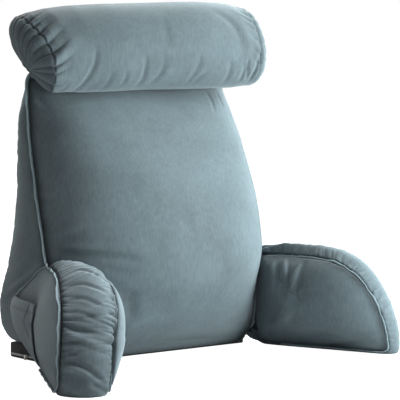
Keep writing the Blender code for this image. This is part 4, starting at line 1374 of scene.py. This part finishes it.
def cloth_material(name, colour, nap, depth):
    """Brushed cloth: a soft uneven nap, a fine grain, sheen at its edges, painted shade in its folds and
    painted highlights on its ridges.
    """
    made, tree = new_material(name)
    shader = tree.nodes["Principled BSDF"]
    for label, value in (("Roughness", 0.86), ("Sheen Weight", 0.35), ("Sheen Roughness", 0.45),
                         ("Sheen Tint", (0.72, 0.84, 0.90, 1.0)), ("Specular IOR Level", 0.2)):
        shader.inputs[label].default_value = value
    place = add_node(tree, "TexCoord").outputs["Object"]
    brushed = add_node(tree, "Mapping", {"Vector": place, "Scale": (1.0, 1.0, 0.22)}).outputs["Vector"]
    streak = noise(tree, brushed, 250.0, 3.0)
    uneven = blend(tree, 0.4, noise(tree, place, 9.0, 5.0, 0.62), streak)
    spread = add_node(tree, "MapRange", {"From Min": 0.36, "From Max": 0.64, "Value": uneven})
    dull, bright = tinted(colour, 1.0 - nap), tinted(colour, 1.0 + nap)
    cloth = blend(tree, spread.outputs["Result"], dull, bright, "RGBA")
    # Painted shade darkens the cloth in folds and beside seams; negative values are painted highlights that
    # lighten ridges and flange rims.
    folds = add_node(tree, "Attribute", attribute_name="crevice").outputs["Fac"]
    painted_highlights = add_node(tree, "MapRange", {"From Max": -1.0, "Value": folds}).outputs["Result"]
    darkened = blend(tree, folds, cloth, tinted(colour, 0.08), "RGBA")
    lightened = blend(tree, painted_highlights, darkened, tinted(colour, 2.4), "RGBA")
    tree.links.new(lightened, shader.inputs["Base Color"])
    height = blend(tree, 0.4, noise(tree, place, 900.0, 2.0), streak)
    bump = add_node(tree, "Bump", {"Strength": 0.6, "Distance": depth * 8, "Height": height})
    tree.links.new(bump.outputs["Normal"], shader.inputs["Normal"])
    return made


def metal_material(name):
    """The slider's and pull's bright metal."""
    made, tree = new_material(name)
    shader = tree.nodes["Principled BSDF"]
    shader.inputs["Metallic"].default_value = 1.0
    shader.inputs["Roughness"].default_value = 0.3
    shader.inputs["Base Color"].default_value = (0.72, 0.73, 0.74, 1.0)
    return made


class PILLOW_OT_finish(bpy.types.Operator):
    """Give every piece its cloth or metal"""

    bl_idname = "pillow.finish"
    bl_label = "Materials"

    def execute(self, context):
        settings = context.scene.pillow_cloth
        cloth = cloth_material("brushed_cloth", settings.cloth_colour, settings.nap, settings.weave_depth)
        metal = metal_material("zip_metal")
        others = {
            "dark_base": cloth_material("base_cloth", settings.base_colour, 0.3, 0.0003),
            "zip_tape": cloth_material("zip_cloth", settings.tape_colour, 0.1, 0.0001),
            "zip_slider": metal,
            "zip_pull": metal,
        }
        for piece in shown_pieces():
            chosen = others.get(piece.name, cloth)
            if "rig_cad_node" in piece:
                for part in piece.material_slots:
                    part.material = chosen
            else:
                piece.data.materials.clear()
                piece.data.materials.append(chosen)
        return {"FINISHED"}


# ---------------------------------------------------------------- the studio
def area_light(light, power):
    """A rectangular light aimed at a spot."""
    name = light.name + "_light"
    data = bpy.data.lights.new(name, "AREA")
    data.shape = "RECTANGLE"
    data.size, data.size_y = light.size
    data.energy = power
    data.color = light.colour
    data.spread = math.radians(light.spread)
    made = bpy.data.objects.new(name, data)
    bpy.context.scene.collection.objects.link(made)
    made.location = light.place
    made.rotation_euler = (Vector(light.target) - Vector(light.place)).to_track_quat("-Z", "Y").to_euler()


def seen_and_cast(tree, cast, seen):
    """One shader for what the camera sees, and another for the light that is cast."""
    camera = add_node(tree, "LightPath").outputs["Is Camera Ray"]
    return add_node(tree, "MixShader", {"Fac": camera, 1: cast, 2: seen}).outputs["Shader"]


def floor_material(colour, glow):
    """Pale paper that looks evenly lit."""
    made, tree = new_material("floor_paint")
    shader = tree.nodes["Principled BSDF"]
    shader.inputs["Base Color"].default_value = (*colour, 1.0)
    shader.inputs["Roughness"].default_value = 0.9
    shader.inputs["Specular IOR Level"].default_value = 0.1
    paint = shader.outputs["BSDF"]
    light = add_node(tree, "Emission", {"Strength": glow}).outputs["Emission"]
    paper = add_node(tree, "AddShader", {0: paint, 1: light}).outputs["Shader"]
    tree.links.new(seen_and_cast(tree, paint, paper), tree.nodes["Material Output"].inputs["Surface"])
    return made


class PILLOW_OT_studio(bpy.types.Operator):
    """Make the pale floor, the soft lights and the camera"""

    bl_idname = "pillow.make_studio"
    bl_label = "Studio"

    def execute(self, context):
        settings = context.scene.pillow_studio
        context.scene.view_settings.view_transform = "Standard"
        bpy.ops.object.select_all(action="DESELECT")
        bpy.ops.mesh.primitive_plane_add(size=60.0, location=(0.0, 0.0, -0.0005))
        floor = context.object
        floor.name = "studio_floor"
        floor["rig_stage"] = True
        floor.data.materials.append(floor_material(settings.floor_colour, settings.floor_glow))
        self.make_surroundings(context.scene, settings.fill_strength)
        for light in LIGHTS:
            area_light(light, getattr(settings, light.name + "_power"))
        self.make_camera(context.scene)
        return {"FINISHED"}

    def make_surroundings(self, scene, strength):
        """Even light from all round, in front of a white backdrop."""
        world = bpy.data.worlds.new("studio_surroundings")
        scene.world = world
        world.use_nodes = True
        tree = world.node_tree
        fill = tree.nodes["Background"]
        fill.inputs["Color"].default_value = (1.0, 0.97, 0.94, 1.0)
        fill.inputs["Strength"].default_value = strength
        backdrop = add_node(tree, "Background", {"Color": (1.0, 1.0, 1.0, 1.0)}).outputs["Background"]
        both = seen_and_cast(tree, fill.outputs["Background"], backdrop)
        tree.links.new(both, tree.nodes["World Output"].inputs["Surface"])

    def make_camera(self, scene):
        """The camera at the photograph's angle."""
        lens = bpy.data.cameras.new("studio_camera")
        lens.lens = VIEW.lens
        lens.sensor_width = SENSOR_WIDTH
        lens.clip_end = 200.0
        camera = bpy.data.objects.new("studio_camera", lens)
        scene.collection.objects.link(camera)
        right, up, back = camera_axes()
        turned = Matrix((right, up, back)).transposed().to_4x4()
        turned.translation = Vector(VIEW.target) + back * VIEW.distance
        camera.matrix_world = turned
        scene.camera = camera


# ---------------------------------------------------------------- the sidebar
class PILLOW_PT_panel(bpy.types.Panel):
    """Sizes, colours and making steps of the reading pillow"""

    bl_idname = "PILLOW_PT_panel"
    bl_label = "Reading Pillow"
    bl_space_type = "VIEW_3D"
    bl_region_type = "UI"
    bl_category = "Reading Pillow"

    def draw(self, context):
        layout = self.layout
        for group in ("pillow_cloth", "pillow_shape", "pillow_studio"):
            box = layout.box()
            settings = getattr(context.scene, group)
            for name in settings.bl_rna.properties.keys():
                if name not in ("rna_type", "name"):
                    box.prop(settings, name)
        for operator in STEPS:
            layout.operator(operator.bl_idname)


STEPS = (PILLOW_OT_back, PILLOW_OT_roll, PILLOW_OT_arms, PILLOW_OT_pocket, PILLOW_OT_base,
         PILLOW_OT_finish, PILLOW_OT_studio)
GROUPS = (("pillow_cloth", PillowClothSettings), ("pillow_shape", PillowShapeSettings),
          ("pillow_studio", PillowStudioSettings))


def register():
    """Add the settings, the making steps and the sidebar panel."""
    for name, group in GROUPS:
        bpy.utils.register_class(group)
        setattr(bpy.types.Scene, name, bpy.props.PointerProperty(type=group))
    for step in (*STEPS, PILLOW_PT_panel):
        bpy.utils.register_class(step)


def unregister():
    """Take away the panel, the making steps and the settings."""
    for step in (PILLOW_PT_panel, *reversed(STEPS)):
        bpy.utils.unregister_class(step)
    for name, group in reversed(GROUPS):
        delattr(bpy.types.Scene, name)
        bpy.utils.unregister_class(group)


def main():
    """Run the making steps in order."""
    register()
    bpy.ops.pillow.make_back()
    bpy.ops.pillow.make_roll()
    bpy.ops.pillow.make_arms()
    bpy.ops.pillow.make_pocket()
    bpy.ops.pillow.make_base()
    bpy.ops.pillow.finish()
    bpy.ops.pillow.make_studio()


if __name__ == "__main__":
    main()
